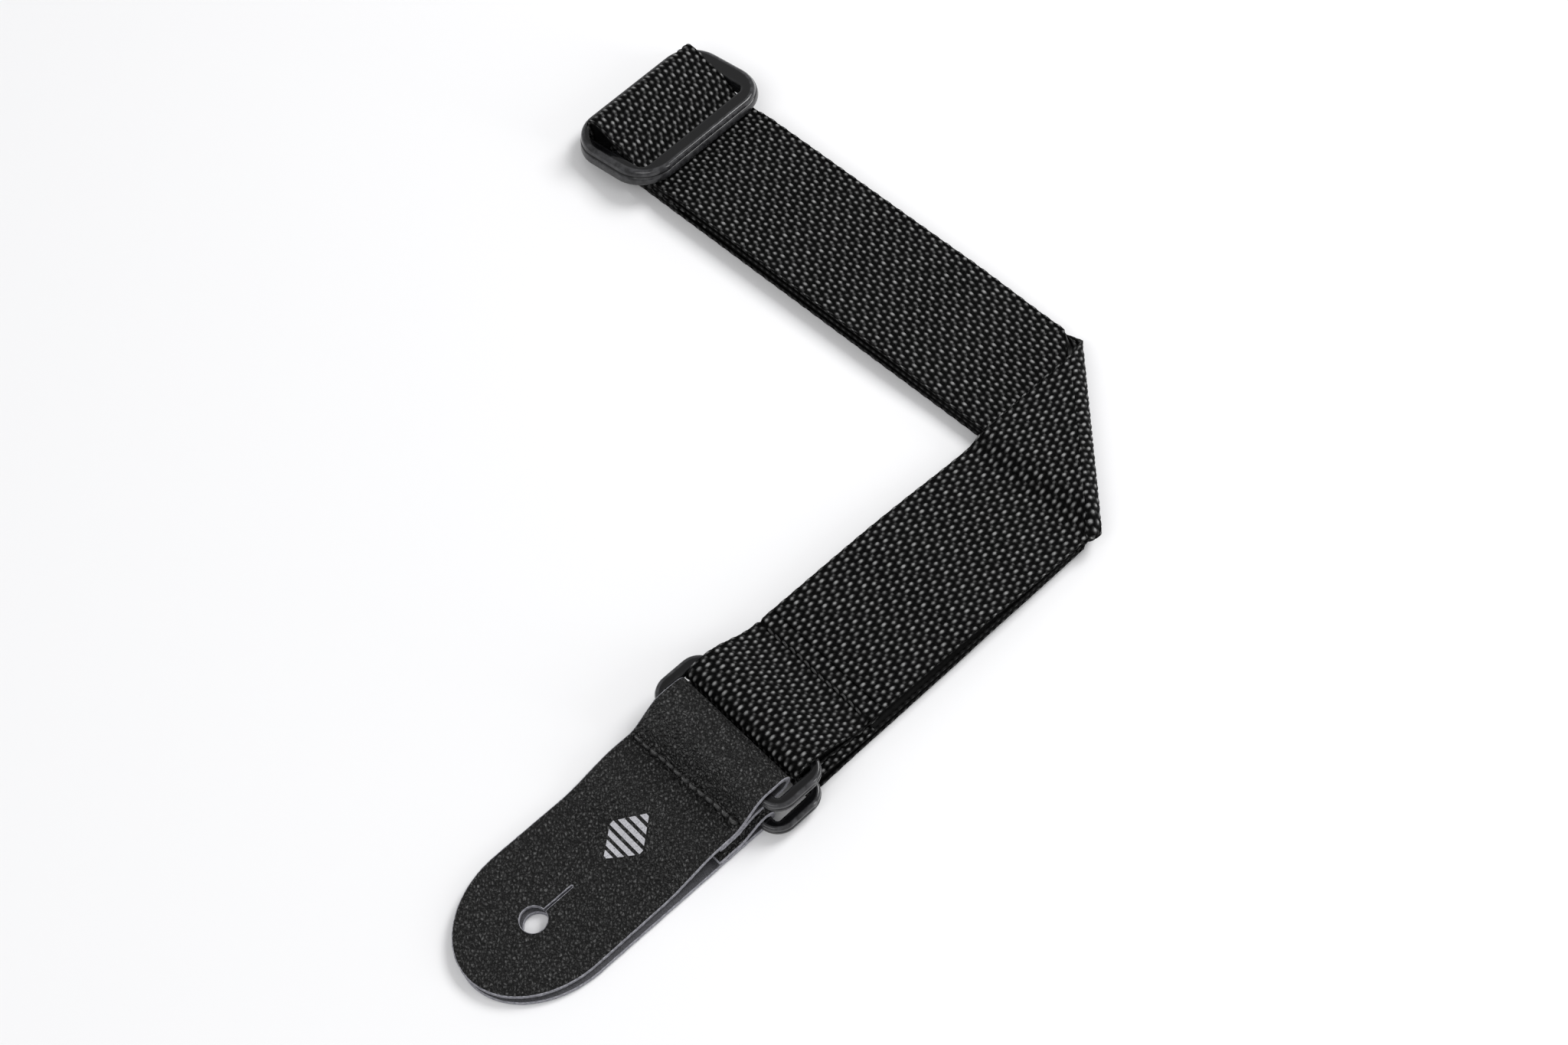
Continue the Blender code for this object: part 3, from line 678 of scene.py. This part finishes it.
def drift_slider(along):
    return between(along, STRAIGHT_FROM, MAIN_UPPER[1][0], FOLD_DRIFT, WEB_ACROSS_SLIDER)


def drift_a(along):
    return between(along, STRAIGHT_FROM, RING_A[0] - BAR_OFFSET, FOLD_DRIFT, EYE_A_ACROSS)


def drift_b(along):
    return between(along, STRAIGHT_FROM, RING_B[0] - BAR_OFFSET, FOLD_DRIFT, EYE_B_ACROSS)


def follow_slider(piece, start, end):
    """Bakes the layer's place into its mesh; the leg points at start and end are worked out but not
    used.
    """
    leg_spot(UPPER, start, 0.0)
    leg_spot(UPPER, end, 0.0)
    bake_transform(piece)


def arch_route():
    high = (ARCH_OUTER - ARCH_CURL, ARCH_CREST - ARCH_CURL)
    low = (ARCH_SLOT[0] - ARCH_FOOT, UNDER_HEIGHT + ARCH_FOOT)
    over_bar = (SLIDER[0], ARCH_OVER_BAR)
    route = [MAIN_UPPER[1]] + ease(MAIN_UPPER[1], ARCH_DIP[0]) + [ARCH_DIP[1]]
    route += ease(ARCH_DIP[1], over_bar) + ease(over_bar, above(high, ARCH_CURL))
    route += turn(high, ARCH_CURL, 90.0, 0.0)
    tuck = ease((high[1], ARCH_OUTER), (ARCH_SLOT[1], ARCH_SLOT[0]))
    route += [(along, height) for height, along in tuck] + [(ARCH_SLOT[0], low[1])]
    return route + turn(low, ARCH_FOOT, 0.0, -90.0) + [(MAIN_UPPER[1][0], UNDER_HEIGHT)]


def slider_eye_route():
    bar = (SLIDER[0], SLIDER[2])
    rise = (SLIDER_EYE_RISE, RETURN_UPPER[1][1])
    route = [RETURN_UPPER[1], rise] + ease(rise, above(bar, EYE_RADIUS))
    route += turn(bar, EYE_RADIUS, 90.0, -90.0)
    return route + ease(below(bar, EYE_RADIUS), SLIDER_EYE_TAIL[0]) + [SLIDER_EYE_TAIL[1]]


def eye_a_route():
    bar = (RING_A[0] - BAR_OFFSET, RING_A[2])
    bend = (bar[0] + EYE_A_SLACK, bar[1])
    rise = (EYE_A_RISE, UNDER_LOWER[1][1])
    route = [UNDER_LOWER[1], rise] + ease(rise, above(bar, EYE_RADIUS))
    route += [above(bend, EYE_RADIUS)] + turn(bend, EYE_RADIUS, 90.0, -90.0)
    route += [below(bar, EYE_RADIUS)]
    return route + ease(below(bar, EYE_RADIUS), EYE_A_TAIL[0]) + [EYE_A_TAIL[1]]


def turn_b_route():
    bar = (RING_B[0] - BAR_OFFSET, RING_B[2])
    route = [RETURN_LOWER[1]] + ease(RETURN_LOWER[1], above(bar, EYE_RADIUS))
    return route + turn(bar, EYE_RADIUS, 90.0, -90.0) + ease(below(bar, EYE_RADIUS), MAIN_LOWER[1])


def build_webbing():
    """The one long webbing, stretch by stretch, with its weave running through all of them."""
    main_up, back_up, under_up = (fold_height(UPPER, order) for order in range(3))
    main_low, back_low, under_low = (fold_height(LOWER, order) for order in range(3))

    piece, ribbon = webbing_run(
        "webbing_main_upper", UPPER, leg_route(main_up, *MAIN_UPPER), full_width, drift_slider,
        None, 0.0, -1.0, (True, False), from_fold=True)
    follow_slider(piece, DRAWN_FROM, MAIN_UPPER[1][0])
    u = -(ribbon.length - BEFORE_FOLD)
    ribbon = webbing_run("webbing_slider_arch", UPPER, arch_route(), full_width, drift_slider,
                         "slider_carriage", u, -1.0, (True, False))[1]
    under_origin = u - ribbon.length - MAIN_UPPER[1][0]
    route = [(-BEFORE_FOLD, under_up), (MAIN_UPPER[1][0], under_up)]
    piece = webbing_run("webbing_under_upper", UPPER, route, full_width, drift_slider,
                        None, under_origin, 1.0, (False, True), from_fold=True)[0]
    follow_slider(piece, DRAWN_FROM, MAIN_UPPER[1][0])
    webbing_fold("webbing_fold_under", 2, under_origin, -1.0)
    u = under_origin - fold_u_gap(2)
    ribbon = webbing_run(
        "webbing_under_lower", LOWER, leg_route(under_low, *UNDER_LOWER), loop_width, drift_a,
        "lower_leg", u, -1.0, (True, False), from_fold=True)[1]
    u -= ribbon.length - BEFORE_FOLD
    eye_a = webbing_run(
        "webbing_ring_a_eye", LOWER, eye_a_route(), loop_width, drift_a,
        "lower_leg", u, -1.0, (True, False), seam=EYE_A_SEAM[0] - UNDER_LOWER[1][0])[1]

    webbing_fold("webbing_fold_main", 0, 0.0, 1.0)
    u = fold_u_gap(0)
    ribbon = webbing_run(
        "webbing_main_lower", LOWER, leg_route(main_low, *MAIN_LOWER), loop_width, drift_b,
        "lower_leg", u, 1.0, (False, True), from_fold=True)[1]
    u += ribbon.length - BEFORE_FOLD
    turn_b = Ribbon(turn_b_route(), None)
    webbing_run("webbing_ring_b_turn", LOWER, turn_b_route(), loop_width, drift_b,
                "lower_leg", u + turn_b.length, -1.0, (True, False))
    back = Ribbon(leg_route(back_low, *RETURN_LOWER), None)
    u += turn_b.length + back.length - BEFORE_FOLD
    webbing_run("webbing_return_lower", LOWER, leg_route(back_low, *RETURN_LOWER), loop_width,
                drift_b, "lower_leg", u, -1.0, (False, False), from_fold=True)
    u += fold_u_gap(1)
    webbing_fold("webbing_fold_return", 1, u, -1.0)
    piece, ribbon = webbing_run(
        "webbing_return_upper", UPPER, leg_route(back_up, *RETURN_UPPER), full_width,
        drift_slider, None, u, 1.0, (False, False), from_fold=True)
    follow_slider(piece, DRAWN_FROM, RETURN_UPPER[1][0])
    u += ribbon.length - BEFORE_FOLD
    slider_eye = webbing_run("webbing_slider_eye", UPPER, slider_eye_route(), full_width,
                             drift_slider, "slider_carriage", u, 1.0, (False, True))[1]
    return eye_a, slider_eye


# --- plastic --------------------------------------------------------

def frame_stations(size, corner, window, window_corner, window_shift=0.0):
    """Matching points round a frame's rim and window, as two arrays, anticlockwise."""
    def loop(box, radius):
        points = []
        for sign_x, sign_y, first in ((1, 1, 0.0), (-1, 1, 90.0), (-1, -1, 180.0), (1, -1, 270.0)):
            angle = np.radians(first + np.linspace(0.0, 90.0, 25))
            turned = np.stack([np.cos(angle), np.sin(angle)], axis=1)
            middle = np.array([sign_x * (box[0] / 2.0 - radius), sign_y * (box[1] / 2.0 - radius)])
            points.append(middle + radius * turned)
        full = []
        for arc, following in zip(points, points[1:] + points[:1]):
            part = np.linspace(0.0, 1.0, 9)[1:-1, None]
            full += [arc, arc[-1] + part * (following[0] - arc[-1])]
        return np.concatenate(full)

    hole = loop(window, window_corner)
    hole[:, 1] += window_shift
    return loop(size, corner), hole


def rounded(centre, radius, first, last, steps=5):
    angles = np.radians(np.linspace(first, last, steps))
    return [(centre[0] + radius * math.cos(a), centre[1] + radius * math.sin(a)) for a in angles]


def frame_profile(half, rim_radius, hole_radius, groove):
    """The frame's section: (from_rim, distance inwards or outwards, height, painted highlight
    weight).
    """
    top = [(0, x, z, 0.2) for x, z in
           rounded((hole_radius, half - hole_radius), hole_radius, 180.0, 90.0)]
    top += [(0, hole_radius + 0.5, half, 0.0), (1, rim_radius + 0.6, half, 0.0)]
    shoulder = [(1, -x, z, 1.0) for x, z in
                rounded((-rim_radius - 0.12, half - rim_radius), rim_radius, 90.0, 0.0, 7)]
    high, low = groove
    wall = [(1, 0.12, high + 0.12, 0.6), (1, 0.32, high, 0.0), (1, 0.34, low + 0.05, 0.0),
            (1, 0.12, low - 0.06, 0.6), (1, 0.0, low - 0.22, 1.0)]
    foot = [(1, -x, z, 0.3) for x, z in
            rounded((-hole_radius, -half + hole_radius), hole_radius, 0.0, -90.0)]
    inside = [(0, x, z, 0.2) for x, z in
              rounded((hole_radius, -half + hole_radius), hole_radius, -90.0, -180.0)]
    return top + shoulder + wall + foot + inside


def frame_points(stations, profile, flare, half):
    """flare is how much further in the rim's top lies than its foot, at the frame's two ends."""
    rim, hole = stations
    ahead = np.roll(rim, -1, axis=0) - np.roll(rim, 1, axis=0)
    rim_in = np.stack([-ahead[:, 1], ahead[:, 0]], axis=1)
    rim_in /= np.linalg.norm(rim_in, axis=1)[:, None]
    hole_in = hole - rim
    hole_in /= np.linalg.norm(hole_in, axis=1)[:, None]
    points, painted_highlight = [], []
    for k in range(len(rim)):
        endwise = rim_in[k][1] ** 2
        for from_rim, distance, height, highlight_weight in profile:
            lift = min(1.0, max(0.0, (height + 0.4 * half) / (1.4 * half)))
            if from_rim:
                base = rim[k] + rim_in[k] * (distance + flare * endwise * lift)
            else:
                base = hole[k] - hole_in[k] * distance
            points.append((base[0], base[1], height))
            painted_highlight.append(highlight_weight)
    return np.array(points), painted_highlight


def placed(points, side, centre, tip=0.0):
    """Local points, X outwards along the leg and Z up, tipped about Y, put on a leg."""
    x = points[:, 0] * math.cos(tip) + points[:, 2] * math.sin(tip)
    z = points[:, 2] * math.cos(tip) - points[:, 0] * math.sin(tip)
    return leg_point(side, centre[0] + x, centre[1] + points[:, 1], centre[2] + z)


def plastic_frame(node, side, centre, tip, stations, profile, flare, half, bar=None):
    """A moulded frame on a leg, with a round bar across its middle if bar gives its section."""
    points, painted_highlight = frame_points(stations, profile, flare, half)
    rows, columns = len(stations[0]), len(profile)
    faces = tube_faces(rows, columns, side == UPPER, around=True)
    if bar is not None:
        length, steps, around = SLIDER_WINDOW[1] + 2.0 * BAR_RUN_IN, 24, 20
        y = np.linspace(-length / 2.0, length / 2.0, steps)
        angle = np.linspace(0.0, 2.0 * math.pi, around, endpoint=False)
        thicker = 1.0 + 0.10 * np.abs(y / (length / 2.0)) ** 6
        rod = np.stack(np.broadcast_arrays(
            bar[0] / 2.0 * np.cos(angle)[None, :] * thicker[:, None], y[:, None],
            bar[1] / 2.0 * np.sin(angle)[None, :] * thicker[:, None]), axis=-1).reshape(-1, 3)
        faces += tube_faces(steps, around, side == LOWER, first=len(points))
        points = np.concatenate([points, rod])
        painted_highlight = painted_highlight + [0.2] * len(rod)
    piece = add_piece(node + "_moulded", placed(points, side, centre, tip), faces, [PLASTIC],
                      node, [node])
    piece.data.set_sharp_from_angle(angle=math.radians(50.0))
    # The rim attribute carries each point's painted highlight weight.
    set_values(piece.data, "rim", painted_highlight)
    return piece


def build_plastic():
    stations = frame_stations(SLIDER_SIZE, SLIDER_CORNER, SLIDER_WINDOW, SLIDER_WINDOW_CORNER,
                              SLIDER_WINDOW_SHIFT)
    profile = frame_profile(SLIDER_HALF_THICK, *SLIDER_ROUNDING, SLIDER_GROOVE)
    plastic_frame("slider", UPPER, SLIDER, SLIDER_TIP, stations, profile, SLIDER_FLARE,
                  SLIDER_HALF_THICK, CENTRE_BAR)
    stations = frame_stations(RING_SIZE, RING_CORNER, RING_WINDOW, RING_WINDOW_CORNER)
    profile = frame_profile(RING_HALF_THICK, *RING_ROUNDING, RING_GROOVE)
    for node, centre in (("ring_a", RING_A), ("ring_b", RING_B)):
        plastic_frame(node, LOWER, centre, 0.0, stations, profile, RING_FLARE, RING_HALF_THICK)


# --- leather --------------------------------------------------------

def tab_route_a():
    bar = (RING_A[0] + BAR_OFFSET, RING_A[2])
    bend = (bar[0] - TAB_A_SLACK, bar[1])
    top, bottom = above(bar, TAB_LOOP_RADIUS), below(bar, TAB_LOOP_RADIUS)
    near_bar = (bar[0] + NEAR_BAR, bottom[1])
    fall = (TAB_A_FALL[0], TAB_A_SEWN)
    route = list(TAB_A_TAIL) + ease(TAB_A_TAIL[1], near_bar) + [bottom]
    route += [below(bend, TAB_LOOP_RADIUS)] + turn(bend, TAB_LOOP_RADIUS, -90.0, -270.0)
    route += [top] + ease(top, (TAB_A_CLOSED, TAB_A_SEWN)) + [fall]
    route += ease(fall, (TAB_A_FALL[1], TAB_A_FLAT))
    return route + [(TAB_TIP + TAB_RUN_ON, TAB_A_FLAT)]


def tab_route_b():
    bar = (RING_B[0] + BAR_OFFSET, RING_B[2])
    route = list(TAB_B_TAIL) + ease(TAB_B_TAIL[1], above(bar, TAB_LOOP_RADIUS))
    route += turn(bar, TAB_LOOP_RADIUS, 90.0, 270.0)
    return route + [(TAB_TIP + TAB_RUN_ON, LEATHER / 2.0)]


def tab_ribbon(route, start, across, angle):
    """A tab's route, moved across the leg and turned in plan about its bar."""
    def place(along, e, height, _):
        x, y = along - start, e
        turned = x * math.cos(angle) - y * math.sin(angle)
        beside = x * math.sin(angle) + y * math.cos(angle)
        return leg_point(LOWER, start + turned, across + beside, height)

    return Ribbon(route, place)


def tab_outline(length):
    """Outline with a long rounded end, and a keyhole, in (s, e), drawn in by the rim."""
    half = TAB_WIDTH / 2.0 - RIM
    straight = length - TAB_RUN_ON - TAB_ROUND
    sides = np.linspace(RIM, straight, round((straight - RIM) / SHEET_STEP))
    angles = np.linspace(-math.pi / 2.0, math.pi / 2.0, 91)[1:-1]
    ends = np.linspace(half, -half, round(2.0 * half / SHEET_STEP))[1:-1]
    outline = [(s, -half) for s in sides]
    outline += [(straight + (TAB_ROUND - RIM) * math.cos(a), half * math.sin(a)) for a in angles]
    outline += [(s, half) for s in sides[::-1]] + [(RIM, e) for e in ends]

    hole = length - TAB_RUN_ON - (TAB_TIP - HOLE_ALONG)
    slit = length - TAB_RUN_ON - (TAB_TIP - SLIT_END)
    radius, wide = HOLE_RADIUS + RIM, SLIT_HALF + RIM
    mouth = math.asin(wide / radius)
    angles = np.linspace(math.pi - mouth, -math.pi + mouth, 49)
    keyhole = [(hole + radius * math.cos(a), radius * math.sin(a)) for a in angles]
    neck = np.linspace(hole - radius * math.cos(mouth), slit, 18)[1:]
    keyhole += [(s, -wide) for s in neck] + [(slit - wide * 0.8, 0.0)]
    keyhole += [(s, wide) for s in neck[::-1]]
    return np.array(outline), np.array(keyhole)


def inside(points, outline):
    """Which points lie inside a closed outline."""
    x, y = points[:, 0][:, None], points[:, 1][:, None]
    ax, ay = outline.T
    bx, by = np.roll(outline, -1, axis=0).T
    crosses = (ay > y) != (by > y)
    with np.errstate(divide="ignore", invalid="ignore"):
        at = ax + (y - ay) * (bx - ax) / (by - ay)
    return (np.sum(crosses & (x < at), axis=1) % 2).astype(bool)


def clearance(points, outline):
    """Distance from each point to a closed outline."""
    a, b = outline, np.roll(outline, -1, axis=0)
    edge = b - a
    length = (edge ** 2).sum(axis=1)
    nearest = np.full(len(points), 1e9)
    for start, along, size in zip(a, edge, length):
        part = np.clip(((points - start) @ along) / size, 0.0, 1.0)
        gap = np.linalg.norm(points - start - part[:, None] * along, axis=1)
        nearest = np.minimum(nearest, gap)
    return nearest


def sheet_plan(outline, keyhole):
    """Points and triangles that fill the outline outside the keyhole."""
    s = np.arange(0.0, outline[:, 0].max(), SHEET_STEP)
    e = np.arange(-TAB_WIDTH / 2.0, TAB_WIDTH / 2.0, SHEET_STEP)
    grid = np.stack(np.meshgrid(s, e, indexing="ij"), axis=-1)
    grid[::2, :, 1] += SHEET_STEP / 2.0
    grid = grid.reshape(-1, 2)
    keep = inside(grid, outline) & ~inside(grid, keyhole)
    keep &= clearance(grid, outline) > CLEAR_OF_OUTLINE
    keep &= clearance(grid, keyhole) > CLEAR_OF_KEYHOLE
    points = np.concatenate([outline, keyhole, grid[keep]])
    edges = []
    for first, count in ((0, len(outline)), (len(outline), len(keyhole))):
        edges += [(first + k, first + (k + 1) % count) for k in range(count)]
    result = delaunay_2d_cdt([Vector(p) for p in points], edges, [], 0, 1e-6)
    points, triangles = np.array([tuple(v) for v in result[0]]), np.array(result[2])
    corners = points[triangles]
    first, second = corners[:, 1] - corners[:, 0], corners[:, 2] - corners[:, 0]
    area = first[:, 0] * second[:, 1] - first[:, 1] * second[:, 0]
    wanted = ~inside(corners.mean(axis=1), keyhole) & (np.abs(area) > 1e-9)
    triangles, area = triangles[wanted], area[wanted]
    triangles[area < 0] = triangles[area < 0][:, ::-1]
    return points, triangles


def rim_of(points, triangles):
    """Boundary edges, anticlockwise about the sheet, and each rim point's way outwards."""
    edges = np.concatenate([triangles[:, [0, 1]], triangles[:, [1, 2]], triangles[:, [2, 0]]])
    known = {tuple(edge) for edge in edges.tolist()}
    rim = [edge for edge in edges.tolist() if (edge[1], edge[0]) not in known]
    out = np.zeros_like(points)
    for a, b in rim:
        step = points[b] - points[a]
        way = np.array([step[1], -step[0]]) / np.linalg.norm(step)
        out[a] += way
        out[b] += way
    size = np.linalg.norm(out, axis=1)
    out[size > 0] /= size[size > 0][:, None]
    return rim, out


def sewn_dents(along, e, seam):
    """How far a sewn face is pressed in: holes between the stitches, and a crease beside them.

    A row has an odd number of stitches, so a stitch and not a hole lies on its middle.
    """
    if seam is None:
        return 0.0 * along
    line = seam_along(seam, e)
    hole = np.sin(math.pi * e / STITCH_PITCH) ** 2
    dent = 0.65 * np.exp(-((along - line) / 1.0) ** 2) * (0.10 + 0.90 * hole)
    dent += 0.14 * np.exp(-((along - line + 2.6) / 0.7) ** 2)
    return dent * (np.abs(e) < seam[1] + 1.2)


def leather_tab(node, ribbon, grain_side, seam):
    """A strip of leather with a keyhole: its two faces and the cut rim between them."""
    outline, keyhole = tab_outline(ribbon.length)
    points, triangles = sheet_plan(outline, keyhole)
    rim, out = rim_of(points, triangles)
    s, e = points.T
    half = LEATHER / 2.0
    along = ribbon.along_at(s)
    long_ply = s > ribbon.s_at(TAB_A_CLOSED - 8.0)
    pressed = sewn_dents(along, e, seam) * long_ply
    wavy = 0.06 * np.sin(0.9 * s + 1.3 * np.sin(0.31 * s)) + 0.05 * np.sin(2.3 * s + 0.7 * e)
    layers = [ribbon.at(s, e, half - pressed), ribbon.at(s, e, -half + 0.0 * s)]
    for outset, depth in RIM_ROWS:
        shift = out * (outset + wavy * (outset > WAVY_BEYOND))[:, None]
        layers.append(ribbon.at(s + shift[:, 0], e + shift[:, 1], half * depth + 0.0 * s))
    rows = [0, 2, 3, 4, 5, 6, 1]
    used = sorted({index for edge in rim for index in edge})
    count = len(points)
    where = {(0, k): k for k in range(count)}
    where.update({(1, k): count + k for k in range(count)})
    vertices = [layers[0], layers[1]]
    for row in rows[1:-1]:
        first = sum(len(block) for block in vertices)
        vertices.append(layers[row][used])
        where.update({(row, k): first + number for number, k in enumerate(used)})
    faces = triangles.tolist() + (triangles[:, ::-1] + count).tolist()
    kinds = [GRAIN if grain_side > 0 else FLESH] * len(triangles)
    kinds += [FLESH if grain_side > 0 else GRAIN] * len(triangles)
    for a, b in rim:
        for high, low in zip(rows[:-1], rows[1:]):
            faces.append([where[high, a], where[low, a], where[low, b], where[high, b]])
            kinds.append(CUT)
    piece = add_piece(node + "_cut", np.concatenate(vertices), faces, LEATHERS, node, [node])
    piece.data.polygons.foreach_set("material_index", kinds)
    face_outwards(piece.data)
    return piece


# --- stitching and print --------------------------------------------

def seam_along(seam, e):
    """How far along the leg a seam lies, at a distance e across it."""
    return seam[0] + seam[2] * e


def stitch_row(node, ribbon, seam, surface, radius, body, s_of=None):
    """Separate stitches, each rising out of one hole and going down into the next."""
    count = int(2.0 * seam[1] / STITCH_PITCH)
    part = np.linspace(-1.0, 1.0, 15)
    around = np.linspace(0.0, 2.0 * math.pi, 10, endpoint=False)
    blocks, faces, uvs, used = [], [], [], 0
    for k in range(count):
        middle = (k - (count - 1) / 2.0) * STITCH_PITCH
        uneven = STITCH_WANDER * math.sin(7.3 * k + 1.0)
        e = middle + STITCH_REACH * STITCH_PITCH * part
        d = surface + radius * (0.75 - 2.6 * np.abs(part) ** 3.0)
        s = (s_of or ribbon.s_at)(seam_along(seam, e))
        s = s + uneven * (1.0 - part ** 2) + STITCH_SLANT * part
        tangent = np.gradient(e), np.gradient(d)
        size = np.hypot(*tangent)
        side = (-tangent[1] / size, tangent[0] / size)
        thick = radius * (1.0 - 0.25 * part ** 4)
        c, w = np.cos(around)[None, :], np.sin(around)[None, :]
        ring = ribbon.at(s[:, None] + thick[:, None] * c,
                         e[:, None] + (thick * side[0])[:, None] * w,
                         d[:, None] + (thick * side[1])[:, None] * w)
        blocks.append(ring.reshape(-1, 3))
        faces += tube_faces(len(part), len(around), False, first=used)
        cloth = np.broadcast_arrays(e[:, None] * 2.0, around[None, :])
        uvs.append(np.stack(cloth, axis=-1).reshape(-1, 2))
        used += ring.shape[0] * ring.shape[1]
    piece = add_piece(node + "_stitches", np.concatenate(blocks), faces, [THREAD], body, [node])
    set_uv(piece.data, "cloth", np.concatenate(uvs))
    face_outwards(piece.data)
    return piece


def printed_mark(ribbon):
    """A plain lozenge of straight stripes, printed on the leather."""
    middle = (MARK_SPAN[0] + MARK_SPAN[1]) / 2.0
    half_long, half_wide = (MARK_SPAN[1] - MARK_SPAN[0]) / 2.0, MARK_WIDTH / 2.0
    pitch = 2.0 * half_long / STRIPES
    blocks, faces, used = [], [], 0
    for k in range(STRIPES):
        centre = (k - (STRIPES - 1) / 2.0) * pitch
        edges = np.array([centre - STRIPE_HALF * pitch, centre + STRIPE_HALF * pitch])
        reach = half_wide * (1.0 - np.abs(edges) / (half_long + 0.2))
        steps = 12
        across = np.linspace(-1.0, 1.0, steps)[:, None] * reach[None, :]
        along = middle + edges[None, :] + 0.0 * across
        s = ribbon.s_at(along)
        top = ribbon.at(s, across, LEATHER / 2.0 + PRINT_HALF_THICK)
        foot = ribbon.at(s, across, LEATHER / 2.0 - PRINT_HALF_THICK)
        loops = np.stack([top[:, 0], top[:, 1], foot[:, 1], foot[:, 0]], axis=1)
        blocks.append(loops.reshape(-1, 3))
        faces += tube_faces(steps, 4, False, first=used)
        used += steps * 4
    piece = add_piece("tab_a_mark_stripes", np.concatenate(blocks), faces, [PRINT], "tab_a",
                      ["tab_a_mark"])
    face_outwards(piece.data)
    piece.data.set_sharp_from_angle(angle=math.radians(40.0))
    return piece


def build_tabs():
    bar = RING_A[0] + BAR_OFFSET
    ribbon_a = tab_ribbon(tab_route_a(), bar, TAB_A_ACROSS, TAB_A_TURN)
    leather_tab("tab_a", ribbon_a, 1, TAB_A_SEAM)
    bar = RING_B[0] + BAR_OFFSET
    ribbon_b = tab_ribbon(tab_route_b(), bar, TAB_B_ACROSS, TAB_B_TURN)
    leather_tab("tab_b", ribbon_b, -1, None)
    stitch_row("stitching_tab_a", ribbon_a, TAB_A_SEAM, LEATHER / 2.0 - 0.05, 0.72, "tab_a")
    stitch_row("stitching_tab_b", ribbon_b, TAB_B_SEAM, -LEATHER / 2.0, -0.30, "tab_b",
               lambda along: TAB_B_TAIL[0][0] - along)
    printed_mark(ribbon_a)


eye_a, slider_eye = build_webbing()
build_plastic()
build_tabs()
stitch_row("stitching_ring_a_eye", eye_a, EYE_A_SEAM, THICK / 2.0 - 0.2, 0.40, "lower_leg",
           lambda along: along - UNDER_LOWER[1][0])
stitch_row("stitching_slider_eye", slider_eye, SLIDER_EYE_SEAM, THICK / 2.0 - 0.1, 0.25,
           "slider_carriage", lambda along: along - RETURN_UPPER[1][0])


# --- stage ----------------------------------------------------------

def add_floor():
    mesh = bpy.data.meshes.new("floor")
    corners = ((-1, -1), (1, -1), (1, 1), (-1, 1))
    mesh.from_pydata([(FLOOR_REACH * x, FLOOR_REACH * y, FLOOR_LEVEL) for x, y in corners], [],
                     [(0, 1, 2, 3)])
    floor = bpy.data.objects.new("floor", mesh)
    bpy.context.scene.collection.objects.link(floor)
    paper = Shader("paper", (0.90, 0.90, 0.91), 0.9)
    mesh.materials.append(paper.material)


def add_light(name, size, power, place, aim=(0.0, 0.0, 0.0)):
    data = bpy.data.lights.new(name, "AREA")
    data.shape = "RECTANGLE"
    data.size, data.size_y = size
    data.energy = power
    light = bpy.data.objects.new(name, data)
    light.location = place
    light.rotation_euler = (Vector(aim) - Vector(place)).to_track_quat("-Z", "Y").to_euler()
    bpy.context.scene.collection.objects.link(light)


def add_camera():
    data = bpy.data.cameras.new("camera")
    data.lens = 50.0
    data.sensor_width = 36.0
    data.clip_start, data.clip_end = 0.01, 20.0
    camera = bpy.data.objects.new("camera", data)
    centre = Vector((*VIEW_CENTRE, 0.0)) * MM
    back = Vector((-math.sin(VIEW_TURN) * math.cos(VIEW_RISE),
                   -math.cos(VIEW_TURN) * math.cos(VIEW_RISE), math.sin(VIEW_RISE)))
    camera.location = centre + back * VIEW_DISTANCE * MM
    camera.rotation_euler = (-back).to_track_quat("-Z", "Y").to_euler()
    bpy.context.scene.collection.objects.link(camera)
    bpy.context.scene.camera = camera


def add_world():
    world = bpy.data.worlds.new("studio")
    world.use_nodes = True
    background = world.node_tree.nodes["Background"]
    background.inputs["Color"].default_value = (1.0, 1.0, 1.0, 1.0)
    background.inputs["Strength"].default_value = WORLD_STRENGTH
    bpy.context.scene.world = world


add_floor()
add_world()
add_light("key", (0.7, 0.7), 16.0, (0.85, 0.65, 1.2))
add_light("fill", (1.4, 1.0), 11.0, (-0.7, -1.1, 1.5))
add_light("edge", (0.25, 0.9), 3.5, (1.15, -0.45, 0.50))
add_camera()
bpy.context.scene.view_settings.view_transform = "Standard"
